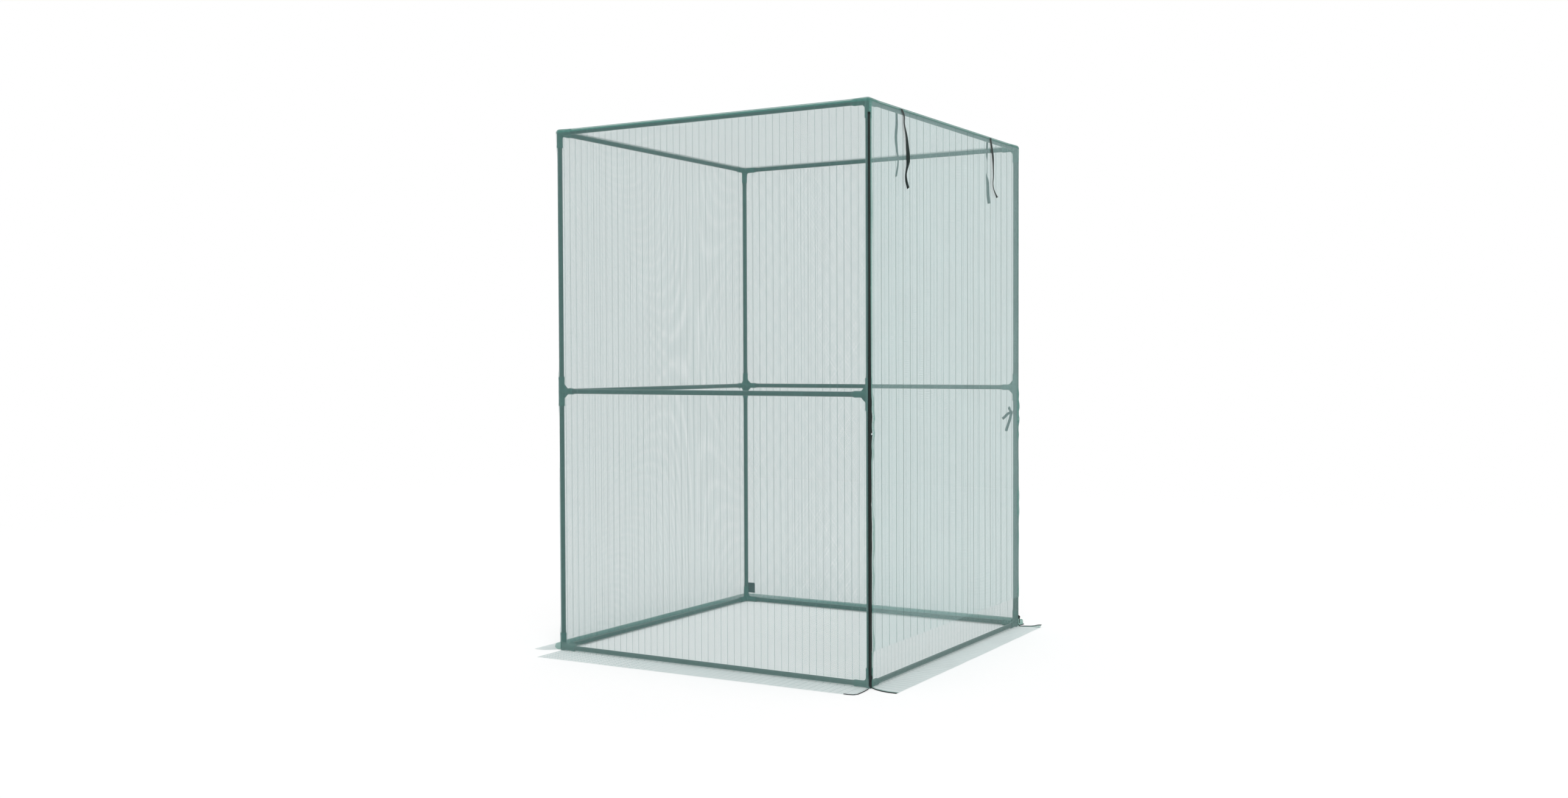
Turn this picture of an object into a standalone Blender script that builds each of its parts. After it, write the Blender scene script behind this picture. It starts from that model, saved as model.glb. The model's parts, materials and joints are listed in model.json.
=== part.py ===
"""Crop cage: a push-fit frame of steel tube under a zipped net cover whose door gathers upwards.

Metres, +Z up. The door faces -Y, the origin is on the ground under the middle of the cage.
Run with: blender --background --python part.py
"""
import math

import bmesh
import bpy
from mathutils import Matrix, Vector

# Frame: spacing of the post centre lines, and heights above the bottom rails' centre line
POST_SPACING_X = 1.178
POST_SPACING_Y = 1.178
TOP_RAIL_HEIGHT = 1.7546
MID_RAIL_HEIGHT = 0.8773

# Tube and the moulded sockets it pushes into
TUBE_DIAMETER = 0.016
TUBE_WALL = 0.0007
SOCKET_CLEARANCE = 0.0003
SOCKET_WALL = 0.0017
HUB_PROUD = 0.0005
SOCKET_REACH = 0.050
SOCKET_STOP = 0.0122
THROUGH_STOP = 0.0020
WEB_THICKNESS = 0.0060
CORNER_WEB_LEG = 0.0070
MID_WEB_LEG = 0.0150
FOOT_INSET = 0.0010
ROUND_SIDES = 16
HUB_SIDES = 16
HUB_RINGS = 8
ARM_ROOT = 0.0010
ARM_TWIST = math.radians(3.5)

# Net cover: coarse strands stand for the fine mesh, with a hem round every panel
NET_THICKNESS = 0.0012
COVER_CLEARANCE = 0.0003
PANEL_GAP = 0.0003
HEM_WIDTH = 0.012
STRAND_WIDTH = 0.005
WALL_COLUMNS = 6
WALL_ROWS = 8
ROOF_ROWS = 6
CORNER_STEPS = 5
WALL_LIFT = 0.0010
ROOF_LIP = 0.0020

# Ground skirts, measured out from the wall they hang on
SIDE_SKIRT_WIDTH = 0.135
END_SKIRT_WIDTH = 0.088
SKIRT_COLUMNS = 6
SKIRT_CORNER_GAP = 0.0015

# Door: panels that fold face to face under the top rail
DOOR_PANELS = 8

# Zips, one round each front corner
TAPE_FLAP = 0.004
ZIP_TOP_DROP = 0.0396
ZIP_BOTTOM = 0.004
COIL_RADIUS = 0.0016
COIL_SPREAD = 0.00135
COIL_PROUD = 0.0009
COIL_SIDES = 8

# Zip slider and its pull tab
SLIDER_HEIGHT = 0.034
SLIDER_LENGTH = 0.013
SLIDER_PLATE = 0.0010
SLIDER_FLANGE = 0.0010
SLIDER_TAPER = 0.0008
SLIDER_CLEARANCE = 0.0003
BAIL_LENGTH = 0.0080
BAIL_WIDTH = 0.0016
BAIL_THICKNESS = 0.0012
BAIL_ROOM = 0.0024
PULL_THICKNESS = 0.0010
PULL_WIDTH = 0.0050
PULL_LENGTH = 0.023
PULL_BAR = 0.0011
PULL_EYE_LENGTH = 0.0051
PULL_EYE_PLAY = 0.00035
PULL_STAND_OFF = 0.0009

# Ribbon ties
TIE_WIDTH = 0.011
TIE_THICKNESS = 0.0008
TIE_SIDE_OFFSET = 0.362
OUTER_TIE_LENGTH = 0.235
INNER_TIE_DROP = 0.205
TIE_GAP = 0.0003
TIE_WAVE = 0.003
TIE_STEPS = 8
TIE_WRAP_ANGLE = 150
COVER_TIE_DROP = 0.092
COVER_TIE_TAILS = ((0.012, 0.026), (0.040, -0.024), (0.028, -0.068))
COVER_TIE_WIDTH = 0.008
COVER_TIE_KNOT = 0.0050

# Sewn-in tag
TAG_WIDTH = 0.028
TAG_HEIGHT = 0.040
TAG_FOOT = 0.035
TAG_THICKNESS = 0.0006
TAG_CORNER_OFFSET = 0.0115

# Sizes that follow from the values above
HALF_X = POST_SPACING_X / 2
HALF_Y = POST_SPACING_Y / 2
TUBE_RADIUS = TUBE_DIAMETER / 2
BORE_RADIUS = TUBE_RADIUS + SOCKET_CLEARANCE
SLEEVE_RADIUS = BORE_RADIUS + SOCKET_WALL
HUB_RADIUS = SLEEVE_RADIUS + HUB_PROUD
BOTTOM_Z = HUB_RADIUS
MID_Z = BOTTOM_Z + MID_RAIL_HEIGHT
TOP_Z = BOTTOM_Z + TOP_RAIL_HEIGHT
COVER_INNER = HUB_RADIUS + COVER_CLEARANCE
COVER_OUTER = COVER_INNER + NET_THICKNESS
WALL_X = HALF_X + COVER_OUTER
WALL_Y = HALF_Y + COVER_OUTER
WALL_TOP = TOP_Z - ROOF_LIP - PANEL_GAP

# Colour, roughness and metallic value of each finish
FINISHES = {
    "tube": ((0.012, 0.050, 0.038), 0.38, 0.2),
    "connector": ((0.030, 0.190, 0.140), 0.50, 0.0),
    "net": ((0.420, 0.560, 0.540), 0.80, 0.0),
    "zip": ((0.020, 0.024, 0.026), 0.65, 0.0),
    "slider": ((0.030, 0.032, 0.034), 0.35, 0.9),
    "tie": ((0.016, 0.034, 0.030), 0.80, 0.0),
    "tag": ((0.085, 0.090, 0.090), 0.75, 0.0),
}

world_origins = {}


def clear_scene():
    for old in list(bpy.data.objects):
        bpy.data.objects.remove(old, do_unlink=True)


def principled(name, finish):
    colour, roughness, metallic = FINISHES[finish]
    material = bpy.data.materials.new(name)
    material.use_nodes = True
    shader = material.node_tree.nodes["Principled BSDF"]
    shader.inputs["Base Color"].default_value = (*colour, 1.0)
    shader.inputs["Roughness"].default_value = roughness
    shader.inputs["Metallic"].default_value = metallic
    return material


def mesh_from(bm, name, smooth_angle=None):
    """Turn a bmesh into a mesh whose faces point out, smooth where its faces meet gently."""
    bmesh.ops.recalc_face_normals(bm, faces=bm.faces)
    mesh = bpy.data.meshes.new(name)
    bm.to_mesh(mesh)
    bm.free()
    if smooth_angle is not None:
        mesh.shade_smooth()
        mesh.set_sharp_from_angle(angle=math.radians(smooth_angle))
    return mesh


def add_object(name, mesh, finish, origin=(0, 0, 0), turn=(0, 0, 0), parent=None):
    """Add a sub-part whose mesh is modelled about its own origin, placed in the world."""
    part = bpy.data.objects.new(name, mesh)
    bpy.context.collection.objects.link(part)
    if not mesh.materials:
        mesh.materials.append(None)
    part.material_slots[0].link = "OBJECT"
    part.material_slots[0].material = principled(name + "_finish", finish)
    part.rotation_euler = turn
    origin = Vector(origin)
    world_origins[name] = origin
    if parent is None:
        part.location = origin
    else:
        part.parent = parent
        part.location = origin - world_origins[parent.name]
    return part


def add_world_mesh(name, mesh, finish, origin=(0, 0, 0), parent=None):
    """Add a sub-part whose mesh was modelled in world coordinates."""
    mesh.transform(Matrix.Translation(-Vector(origin)))
    return add_object(name, mesh, finish, origin=origin, parent=parent)


def helper(bm, name="helper"):
    """Make a short-lived object for a Boolean."""
    part = bpy.data.objects.new(name, mesh_from(bm, name))
    bpy.context.collection.objects.link(part)
    return part


def combine(base, joined=(), cut=(), name="solid", smooth_angle=30):
    """Join helper objects to the base, cut others from it, and return the resulting mesh."""
    for operation, others in (("UNION", joined), ("DIFFERENCE", cut)):
        for other in others:
            modifier = base.modifiers.new(operation.lower(), "BOOLEAN")
            modifier.operation = operation
            modifier.solver = "EXACT"
            modifier.object = other
    graph = bpy.context.evaluated_depsgraph_get()
    mesh = bpy.data.meshes.new_from_object(base.evaluated_get(graph))
    mesh.name = name
    for part in (base, *joined, *cut):
        bpy.data.objects.remove(part, do_unlink=True)
    mesh.shade_smooth()
    mesh.set_sharp_from_angle(angle=math.radians(smooth_angle))
    return mesh


def box_into(bm, low, high):
    """Add a box between two corners."""
    low, high = Vector(low), Vector(high)
    made = bmesh.ops.create_cube(bm, size=1.0)
    size = high - low
    place = Matrix.Translation((low + high) / 2) @ Matrix.Diagonal((*size, 1.0))
    bmesh.ops.transform(bm, matrix=place, verts=made["verts"])
    return made["verts"]


def rod(start, end, radius, sides=ROUND_SIDES, twist=0.0):
    """A solid round rod from start to end, turned about its own axis by twist."""
    start, end = Vector(start), Vector(end)
    run = end - start
    bm = bmesh.new()
    bmesh.ops.create_cone(bm, cap_ends=True, segments=sides, radius1=radius, radius2=radius,
                          depth=run.length)
    spin = Matrix.Rotation(twist, 4, "Z")
    turn = Vector((0, 0, 1)).rotation_difference(run).to_matrix().to_4x4()
    place = Matrix.Translation((start + end) / 2) @ turn @ spin
    bmesh.ops.transform(bm, matrix=place, verts=bm.verts)
    return helper(bm)


def prism(points, depth_axis, low, high):
    """Extrude a closed outline of 3-D points along one axis, from low to high."""
    bm = bmesh.new()
    verts = []
    for point in points:
        corner = Vector(point)
        corner[depth_axis] = low
        verts.append(bm.verts.new(corner))
    face = bm.faces.new(verts)
    made = bmesh.ops.extrude_face_region(bm, geom=[face])
    lift = Vector((0, 0, 0))
    lift[depth_axis] = high - low
    top = [g for g in made["geom"] if isinstance(g, bmesh.types.BMVert)]
    bmesh.ops.translate(bm, vec=lift, verts=top)
    return bm


def tube_mesh(length, name):
    """A length of thin-walled tube along +Z, open at both ends."""
    bm = bmesh.new()
    for radius in (TUBE_RADIUS, TUBE_RADIUS - TUBE_WALL):
        bmesh.ops.create_circle(bm, segments=ROUND_SIDES, radius=radius)
    ring = bmesh.ops.bridge_loops(bm, edges=bm.edges[:])["faces"]
    made = bmesh.ops.extrude_face_region(bm, geom=ring)
    top = [g for g in made["geom"] if isinstance(g, bmesh.types.BMVert)]
    bmesh.ops.translate(bm, vec=(0, 0, length), verts=top)
    return mesh_from(bm, name, smooth_angle=40)


def web(first, second, leg):
    """The flat web that stiffens the corner between two sockets, rooted in their walls."""
    root = BORE_RADIUS + SOCKET_WALL / 2
    reach = 2 * SLEEVE_RADIUS + leg - root
    first, second = Vector(first), Vector(second)
    flat_axis = next(i for i in range(3) if first[i] == 0 and second[i] == 0)
    outline = ((first + second) * root, first * reach + second * root,
               first * root + second * reach)
    return helper(prism(outline, flat_axis, -WEB_THICKNESS / 2, WEB_THICKNESS / 2))


def connector_mesh(name, side_arms, posts, foot, web_leg):
    """A moulded connector: sockets along its arms, a round hub, webs and, at an end, a foot."""
    bm = bmesh.new()
    bmesh.ops.create_uvsphere(bm, u_segments=HUB_SIDES, v_segments=HUB_RINGS, radius=HUB_RADIUS)
    hub = helper(bm)
    joined, cut = [], []
    arms = [Vector(a) for a in (*side_arms, *posts)]
    for i, arm in enumerate(arms):
        twist = i * ARM_TWIST
        joined.append(rod(-arm * ARM_ROOT, arm * SOCKET_REACH, SLEEVE_RADIUS, twist=twist))
        stop = THROUGH_STOP if len(posts) > 1 and arm.z else SOCKET_STOP
        cut.append(rod(arm * stop, arm * (SOCKET_REACH + TUBE_DIAMETER), BORE_RADIUS,
                       twist=twist))
    for i, first in enumerate(arms):
        for second in arms[i + 1:]:
            if first.dot(second) == 0:
                joined.append(web(first, second, web_leg))
    if foot:
        joined.append(rod((0, 0, 0), (0, 0, -HUB_RADIUS), SLEEVE_RADIUS - FOOT_INSET))
    return combine(hub, joined, cut, name)


def build_connectors():
    """Eight corner connectors and four half-way connectors, none on the door's side rails."""
    two_sides = ((1, 0, 0), (0, 1, 0))
    up, down = (0, 0, 1), (0, 0, -1)
    footed = connector_mesh("footed_connector", two_sides, (up,), True, CORNER_WEB_LEG)
    capped = connector_mesh("capped_connector", two_sides, (down,), False, CORNER_WEB_LEG)
    cross = connector_mesh("cross_connector", two_sides, (up, down), False, MID_WEB_LEG)
    tee = connector_mesh("tee_connector", ((0, 1, 0),), (up, down), False, MID_WEB_LEG)
    corners = {"front_left": (-1, -1, 0), "front_right": (1, -1, 1),
               "rear_right": (1, 1, 2), "rear_left": (-1, 1, 3)}
    for place, (side_x, side_y, quarters) in corners.items():
        x, y = side_x * HALF_X, side_y * HALF_Y
        turn = (0, 0, quarters * math.pi / 2)
        add_object("bottom_connector_" + place, footed, "connector", (x, y, BOTTOM_Z), turn)
        add_object("top_connector_" + place, capped, "connector", (x, y, TOP_Z), turn)
        if side_y > 0:
            add_object("mid_connector_" + place, cross, "connector", (x, y, MID_Z), turn)
        else:
            add_object("mid_connector_" + place, tee, "connector", (x, y, MID_Z))


def build_tubes():
    """Two tubes to each post, and the rails at three heights, with the door side left open."""
    end = SOCKET_STOP + SOCKET_CLEARANCE
    through = THROUGH_STOP + SOCKET_CLEARANCE
    rail_x = tube_mesh(POST_SPACING_X - 2 * end, "rail_x")
    rail_y = tube_mesh(POST_SPACING_Y - 2 * end, "rail_y")
    lower = tube_mesh(MID_Z - BOTTOM_Z - end - through, "post_lower")
    upper = tube_mesh(TOP_Z - MID_Z - end - through, "post_upper")
    for level, z in (("bottom", BOTTOM_Z), ("mid", MID_Z), ("top", TOP_Z)):
        for side, y in (("front", -HALF_Y), ("rear", HALF_Y)):
            if (level, side) != ("mid", "front"):
                add_object(f"{level}_rail_{side}", rail_x, "tube", (-HALF_X + end, y, z),
                           (0, math.pi / 2, 0))
        for side, x in (("left", -HALF_X), ("right", HALF_X)):
            add_object(f"{level}_rail_{side}", rail_y, "tube", (x, -HALF_Y + end, z),
                       (-math.pi / 2, 0, 0))
    for side_y, y in (("front", -HALF_Y), ("rear", HALF_Y)):
        for side_x, x in (("left", -HALF_X), ("right", HALF_X)):
            place = f"{side_y}_{side_x}"
            add_object("post_lower_" + place, lower, "tube", (x, y, BOTTOM_Z + end))
            add_object("post_upper_" + place, upper, "tube", (x, y, MID_Z + through))


def gap_spans(low, high, count):
    """Where the gaps of a net lie between two hems, with a strand between neighbours."""
    pitch = (high - low - 2 * HEM_WIDTH + STRAND_WIDTH) / count
    return [(low + HEM_WIDTH + i * pitch, low + HEM_WIDTH + (i + 1) * pitch - STRAND_WIDTH)
            for i in range(count)]


def net_gaps(u_axis, u_range, v_axis, v_range, through, counts):
    """Cutters for a net's gaps, laid out along u and v inside the hems of a panel."""
    bm = bmesh.new()
    flat_axis = 3 - u_axis - v_axis
    for u0, u1 in gap_spans(*u_range, counts[0]):
        for v0, v1 in gap_spans(*v_range, counts[1]):
            low, high = [0.0] * 3, [0.0] * 3
            low[u_axis], high[u_axis] = u0, u1
            low[v_axis], high[v_axis] = v0, v1
            low[flat_axis], high[flat_axis] = through
            box_into(bm, low, high)
    return helper(bm)


def flat_panel(low, high, u_axis, v_axis, counts, name):
    """A flat net panel between two corners."""
    bm = bmesh.new()
    box_into(bm, low, high)
    flat_axis = 3 - u_axis - v_axis
    through = (low[flat_axis] - HEM_WIDTH, high[flat_axis] + HEM_WIDTH)
    gaps = net_gaps(u_axis, (low[u_axis], high[u_axis]), v_axis, (low[v_axis], high[v_axis]),
                    through, counts)
    return combine(helper(bm), cut=(gaps,), name=name)


def corner_arc(centre, radius, start, end, steps=CORNER_STEPS):
    """Points round a post, from one heading to another, in degrees from +X."""
    points = []
    for i in range(steps + 1):
        angle = math.radians(start + (end - start) * i / steps)
        points.append((centre[0] + radius * math.cos(angle),
                       centre[1] + radius * math.sin(angle), 0))
    return points


def rounded_block(outset, foot):
    """A block round the whole frame, a given way outside its centre lines, with rounded top."""
    bm = bmesh.new()
    x, y = HALF_X + outset, HALF_Y + outset
    box_into(bm, (-x, -y, foot), (x, y, TOP_Z + outset))
    rounded = [e for e in bm.edges if any(v.co.z > TOP_Z for v in e.verts)]
    bmesh.ops.bevel(bm, geom=rounded, offset=outset, affect="EDGES", segments=CORNER_STEPS,
                    profile=0.5, material=-1)
    return helper(bm)


def build_roof():
    """The roof net with its rounded edges and a short lip down to the walls."""
    shell = rounded_block(COVER_OUTER, TOP_Z - ROOF_LIP)
    hollow = rounded_block(COVER_INNER, TOP_Z - 2 * ROOF_LIP)
    gaps = net_gaps(0, (-HALF_X, HALF_X), 1, (-HALF_Y, HALF_Y), (TOP_Z, TOP_Z + 2 * COVER_OUTER),
                    (WALL_COLUMNS, ROOF_ROWS))
    add_world_mesh("roof_net", combine(shell, cut=(hollow, gaps), name="roof_net"), "net")


def build_walls():
    """Net walls: two flat sides, and a rear that wraps round both rear posts."""
    front_y = -HALF_Y + TAPE_FLAP + PANEL_GAP
    for side, sign in (("left", -1), ("right", 1)):
        inner, outer = sign * (WALL_X - NET_THICKNESS), sign * WALL_X
        low = (min(inner, outer), front_y, WALL_LIFT)
        high = (max(inner, outer), HALF_Y - PANEL_GAP, WALL_TOP)
        name = "wall_net_" + side
        mesh = flat_panel(low, high, 1, 2, (WALL_COLUMNS, WALL_ROWS), name)
        add_world_mesh(name, mesh, "net")
    rear_posts = ((HALF_X, HALF_Y), 0, 90), ((-HALF_X, HALF_Y), 90, 180)
    outside = [p for post, start, end in rear_posts
               for p in corner_arc(post, COVER_OUTER, start, end)]
    inside = [p for post, start, end in rear_posts
              for p in corner_arc(post, COVER_INNER, start, end)]
    wall = helper(prism([*outside, *reversed(inside)], 2, WALL_LIFT, WALL_TOP))
    gaps = net_gaps(0, (-HALF_X, HALF_X), 2, (WALL_LIFT, WALL_TOP),
                    (HALF_Y, WALL_Y + COVER_OUTER), (WALL_COLUMNS, WALL_ROWS))
    add_world_mesh("wall_net_rear", combine(wall, cut=(gaps,), name="wall_net_rear"), "net")


def build_skirts():
    """Ground skirts on the two sides and the rear, each hinged along the foot of its wall."""
    front, rear = -HALF_Y + SKIRT_CORNER_GAP, HALF_Y - SKIRT_CORNER_GAP
    for side, sign in (("left", -1), ("right", 1)):
        near = sign * (WALL_X + PANEL_GAP)
        far = sign * (WALL_X + PANEL_GAP + SIDE_SKIRT_WIDTH)
        low = (min(near, far), front, 0.0)
        high = (max(near, far), rear, NET_THICKNESS)
        name = "skirt_" + side
        mesh = flat_panel(low, high, 1, 0, (SKIRT_COLUMNS, 1), name)
        add_world_mesh(name, mesh, "net", origin=(near, 0, NET_THICKNESS))
    near = WALL_Y + PANEL_GAP
    half = HALF_X - SKIRT_CORNER_GAP
    mesh = flat_panel((-half, near, 0.0), (half, near + END_SKIRT_WIDTH, NET_THICKNESS), 0, 1,
                      (SKIRT_COLUMNS, 1), "skirt_rear")
    add_world_mesh("skirt_rear", mesh, "net", origin=(0, near, NET_THICKNESS))


def build_door():
    """Door panels hung one from another: fold lines lie on the outer and inner face in turn."""
    half = HALF_X - TAPE_FLAP - PANEL_GAP
    outer, inner = -WALL_Y, -WALL_Y + NET_THICKNESS
    panel_height = (WALL_TOP - WALL_LIFT) / DOOR_PANELS
    parent = None
    for number in range(1, DOOR_PANELS + 1):
        fold_z = WALL_TOP - (number - 1) * panel_height
        fold_y = outer if number % 2 else inner
        top = fold_z - (PANEL_GAP / 2 if number > 1 else 0.0)
        foot = fold_z - panel_height + (PANEL_GAP / 2 if number < DOOR_PANELS else 0.0)
        name = f"door_panel_{number}"
        mesh = flat_panel((-half, outer, foot), (half, inner, top), 0, 2, (WALL_COLUMNS, 1), name)
        parent = add_world_mesh(name, mesh, "net", origin=(0, fold_y, fold_z), parent=parent)
    near = -WALL_Y - PANEL_GAP
    mesh = flat_panel((-half, near - END_SKIRT_WIDTH, 0.0), (half, near, NET_THICKNESS), 0, 1,
                      (SKIRT_COLUMNS, 1), "door_skirt")
    add_world_mesh("door_skirt", mesh, "net", origin=(0, near, NET_THICKNESS), parent=parent)


def tape_outline(centre, sign):
    """The plan of a zip's tape: flat on the side wall, round the post, flat on the door."""
    faces = []
    for radius in (COVER_OUTER, COVER_INNER):
        headings = (180, 270) if sign < 0 else (0, -90)
        wall_end = (centre.x + sign * radius, centre.y + TAPE_FLAP, 0)
        door_end = (centre.x - sign * TAPE_FLAP, centre.y - radius, 0)
        arc = corner_arc(centre, radius, *headings, steps=2 * CORNER_STEPS)
        faces.append([wall_end, *arc, door_end])
    return [*faces[0], *reversed(faces[1])]


def build_zips():
    """A zip round each front corner: its tape wraps the post, and two coils stand on the tape."""
    for side, sign in (("left", -1), ("right", 1)):
        centre = Vector((sign * HALF_X, -HALF_Y, 0))
        out = Vector((sign, -1, 0)).normalized()
        along = Vector((out.y, -out.x, 0))
        tape = helper(prism(tape_outline(centre, sign), 2, ZIP_BOTTOM, WALL_TOP))
        coils = []
        for shift in (-COIL_SPREAD, COIL_SPREAD):
            foot = centre + out * (COVER_OUTER + COIL_PROUD) + along * shift
            coils.append(rod(foot + Vector((0, 0, ZIP_BOTTOM)),
                             foot + Vector((0, 0, TOP_Z - ZIP_TOP_DROP)),
                             COIL_RADIUS, sides=COIL_SIDES))
        add_world_mesh("zip_" + side, combine(tape, coils, name="zip_" + side), "zip")


def slider_mesh():
    """The slider's saddle over the coils, with the bail that holds the pull; it faces -Y."""
    coil_face = COVER_OUTER + COIL_PROUD + COIL_RADIUS
    plate_in = coil_face + SLIDER_CLEARANCE
    plate_out = plate_in + SLIDER_PLATE
    slot = COIL_SPREAD + COIL_RADIUS + SLIDER_CLEARANCE
    half = slot + SLIDER_FLANGE
    end = SLIDER_LENGTH / 2
    shoulder = end - 2 * SLIDER_FLANGE
    outline = ((-half, 0, -end), (half, 0, -end), (half + SLIDER_TAPER, 0, shoulder),
               (half - SLIDER_TAPER, 0, end), (-half + SLIDER_TAPER, 0, end),
               (-half - SLIDER_TAPER, 0, shoulder))
    plate = helper(prism(outline, 1, -plate_out, -COVER_OUTER - SLIDER_CLEARANCE))
    bm = bmesh.new()
    box_into(bm, (-slot, -plate_in, -SLIDER_LENGTH), (slot, 0, SLIDER_LENGTH))
    channel = helper(bm)
    top = plate_out + BAIL_ROOM + BAIL_THICKNESS
    reach = BAIL_LENGTH / 2
    room = reach - BAIL_THICKNESS
    root = plate_out - SLIDER_PLATE / 2
    bail = ((0, -root, -reach), (0, -top + BAIL_THICKNESS, -reach), (0, -top, -room),
            (0, -top, room), (0, -top + BAIL_THICKNESS, reach), (0, -root, reach))
    arch = helper(prism(bail, 0, -BAIL_WIDTH / 2, BAIL_WIDTH / 2))
    bm = bmesh.new()
    box_into(bm, (-BAIL_WIDTH, -plate_out - BAIL_ROOM, -room), (BAIL_WIDTH, -plate_out, room))
    window = helper(bm)
    return combine(plate, (arch,), (channel, window), "zip_slider"), plate_out


def pull_mesh(plate_out):
    """The pull tab about its bar, which sits in the bail; it hangs down and faces -Y."""
    axis_y = -plate_out - PULL_STAND_OFF
    half = PULL_WIDTH / 2
    bar = PULL_BAR / 2
    low, high = axis_y - PULL_THICKNESS / 2, axis_y + PULL_THICKNESS / 2
    tip = -PULL_LENGTH
    nose = half / 2
    outline = ((-half, 0, bar), (half, 0, bar), (half, 0, tip + nose), (nose, 0, tip),
               (-nose, 0, tip), (-half, 0, tip + nose))
    tab = helper(prism(outline, 1, low, high))
    eye = BAIL_WIDTH / 2 + PULL_EYE_PLAY
    bm = bmesh.new()
    box_into(bm, (-eye, low - PULL_THICKNESS, -bar - PULL_EYE_LENGTH),
             (eye, high + PULL_THICKNESS, -bar))
    grip = PULL_WIDTH / 5
    box_into(bm, (-grip, low - PULL_THICKNESS, tip + 2 * nose),
             (grip, high + PULL_THICKNESS, tip / 2))
    mesh = combine(tab, cut=(helper(bm),), name="zip_pull")
    mesh.transform(Matrix.Translation((0, -axis_y, 0)))
    return mesh, axis_y


def build_sliders():
    """One slider at the foot of each zip, turned to face out of its corner."""
    body, plate_out = slider_mesh()
    pull, axis_y = pull_mesh(plate_out)
    for side, sign in (("left", -1), ("right", 1)):
        turn = (0, 0, sign * math.pi / 4)
        post = Vector((sign * HALF_X, -HALF_Y, SLIDER_HEIGHT))
        slider = add_object("zip_slider_" + side, body, "slider", post, turn)
        tab = add_object("zip_pull_" + side, pull, "slider", post)
        tab.parent = slider
        tab.location = (0, axis_y, 0)


def ribbon_mesh(path, x, name):
    """A ribbon that follows a path of (y, z) points, with its thickness on the path's left."""
    outline, far_side = [], []
    for i, (y, z) in enumerate(path):
        before, after = path[max(i - 1, 0)], path[min(i + 1, len(path) - 1)]
        run = Vector((after[0] - before[0], after[1] - before[1])).normalized()
        outline.append((x, y, z))
        far_side.append((x, y - run.y * TIE_THICKNESS, z + run.x * TIE_THICKNESS))
    low, high = x - TIE_WIDTH / 2, x + TIE_WIDTH / 2
    return mesh_from(prism([*outline, *reversed(far_side)], 0, low, high), name, smooth_angle=40)


def build_door_ties(top_panel):
    """A ribbon inside and one outside, at two places along the top of the door."""
    wrap = TUBE_RADIUS + TIE_GAP
    for side, sign in (("left", -1), ("right", 1)):
        x = sign * TIE_SIDE_OFFSET
        outside = []
        for i in range(TIE_STEPS + 1):
            down = OUTER_TIE_LENGTH * i / TIE_STEPS
            bow = TIE_WAVE * (1 - math.cos(2 * math.pi * i / TIE_STEPS)) / 2
            outside.append((-WALL_Y - TIE_GAP - bow, WALL_TOP - PANEL_GAP - down))
        name = "door_tie_outer_" + side
        add_world_mesh(name, ribbon_mesh(outside[::-1], x, name), "tie",
                       origin=(0, -WALL_Y, WALL_TOP), parent=top_panel)
        inside = []
        for i in range(TIE_STEPS + 1):
            heading = math.radians(TIE_WRAP_ANGLE * (1 - i / TIE_STEPS))
            inside.append((-HALF_Y + wrap * math.cos(heading), TOP_Z + wrap * math.sin(heading)))
        for i in range(1, TIE_STEPS + 1):
            sway = TIE_WAVE * math.sin(math.pi * i / TIE_STEPS) / 2
            inside.append((-HALF_Y + wrap + sway, TOP_Z - INNER_TIE_DROP * i / TIE_STEPS))
        name = "door_tie_inner_" + side
        add_world_mesh(name, ribbon_mesh(inside, x, name), "tie")


def build_cover_tie():
    """The cover's tie round the front right post, knotted, with its tails lying along the wall."""
    centre = Vector((HALF_X, -HALF_Y, MID_Z - COVER_TIE_DROP))
    outer = TUBE_RADIUS + TIE_GAP + TIE_THICKNESS
    half = TIE_WIDTH / 2
    band = rod(centre - Vector((0, 0, half)), centre + Vector((0, 0, half)), outer)
    bore = rod(centre - Vector((0, 0, TIE_WIDTH)), centre + Vector((0, 0, TIE_WIDTH)),
               TUBE_RADIUS + TIE_GAP)
    knot_at = centre + Vector((0, outer + COVER_TIE_KNOT / 2, 0))
    bm = bmesh.new()
    bmesh.ops.create_uvsphere(bm, u_segments=10, v_segments=8, radius=COVER_TIE_KNOT)
    bmesh.ops.translate(bm, vec=knot_at, verts=bm.verts)
    joined = [helper(bm)]
    for along, up in COVER_TIE_TAILS:
        run = Vector((0, along, up))
        across = Vector((0, -up, along)).normalized() * COVER_TIE_WIDTH / 2
        bend = across * 0.6
        spine = (Vector((0, 0, 0)), run * 0.5 + bend, run)
        left = [knot_at + p + across * s for p, s in zip(spine, (0.4, 0.9, 1.0))]
        right = [knot_at + p - across * s for p, s in zip(spine, (0.4, 0.9, 1.0))]
        joined.append(helper(prism([*left, *reversed(right)], 0,
                                   centre.x - TIE_THICKNESS / 2, centre.x + TIE_THICKNESS / 2)))
    add_world_mesh("cover_tie", combine(band, joined, (bore,), "cover_tie"), "tie")


def build_tag():
    """The blank tag sewn in beside the rear right post, against the inside of the wall net."""
    face = WALL_X - NET_THICKNESS - PANEL_GAP
    y = HALF_Y - TAG_CORNER_OFFSET
    bm = bmesh.new()
    box_into(bm, (face - TAG_THICKNESS, y - TAG_WIDTH, TAG_FOOT), (face, y, TAG_FOOT + TAG_HEIGHT))
    add_world_mesh("blank_tag", mesh_from(bm, "blank_tag"), "tag")


def main():
    clear_scene()
    build_tubes()
    build_connectors()
    build_roof()
    build_walls()
    build_skirts()
    build_door()
    build_zips()
    build_sliders()
    build_door_ties(bpy.data.objects["door_panel_1"])
    build_cover_tie()
    build_tag()


main()
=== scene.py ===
# %% [markdown]
# # A crop cage under a fine net
# A square frame of thin green tube carries a see-through net with a zipped door. The CAD frame is
# loaded first and never changed. Every piece made here stands where the CAD says. Pieces given one
# body ride on it, as the tubes, walls and zip sliders do. The door's net, most of its zip pieces, the
# skirts with their bindings and the outer ribbons are given two bodies, but nothing here bends them
# between those, so they stay in place.

# %% Load the fixed frame
import json
import math

import bmesh
import bpy
from mathutils import Matrix, Vector, noise


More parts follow.
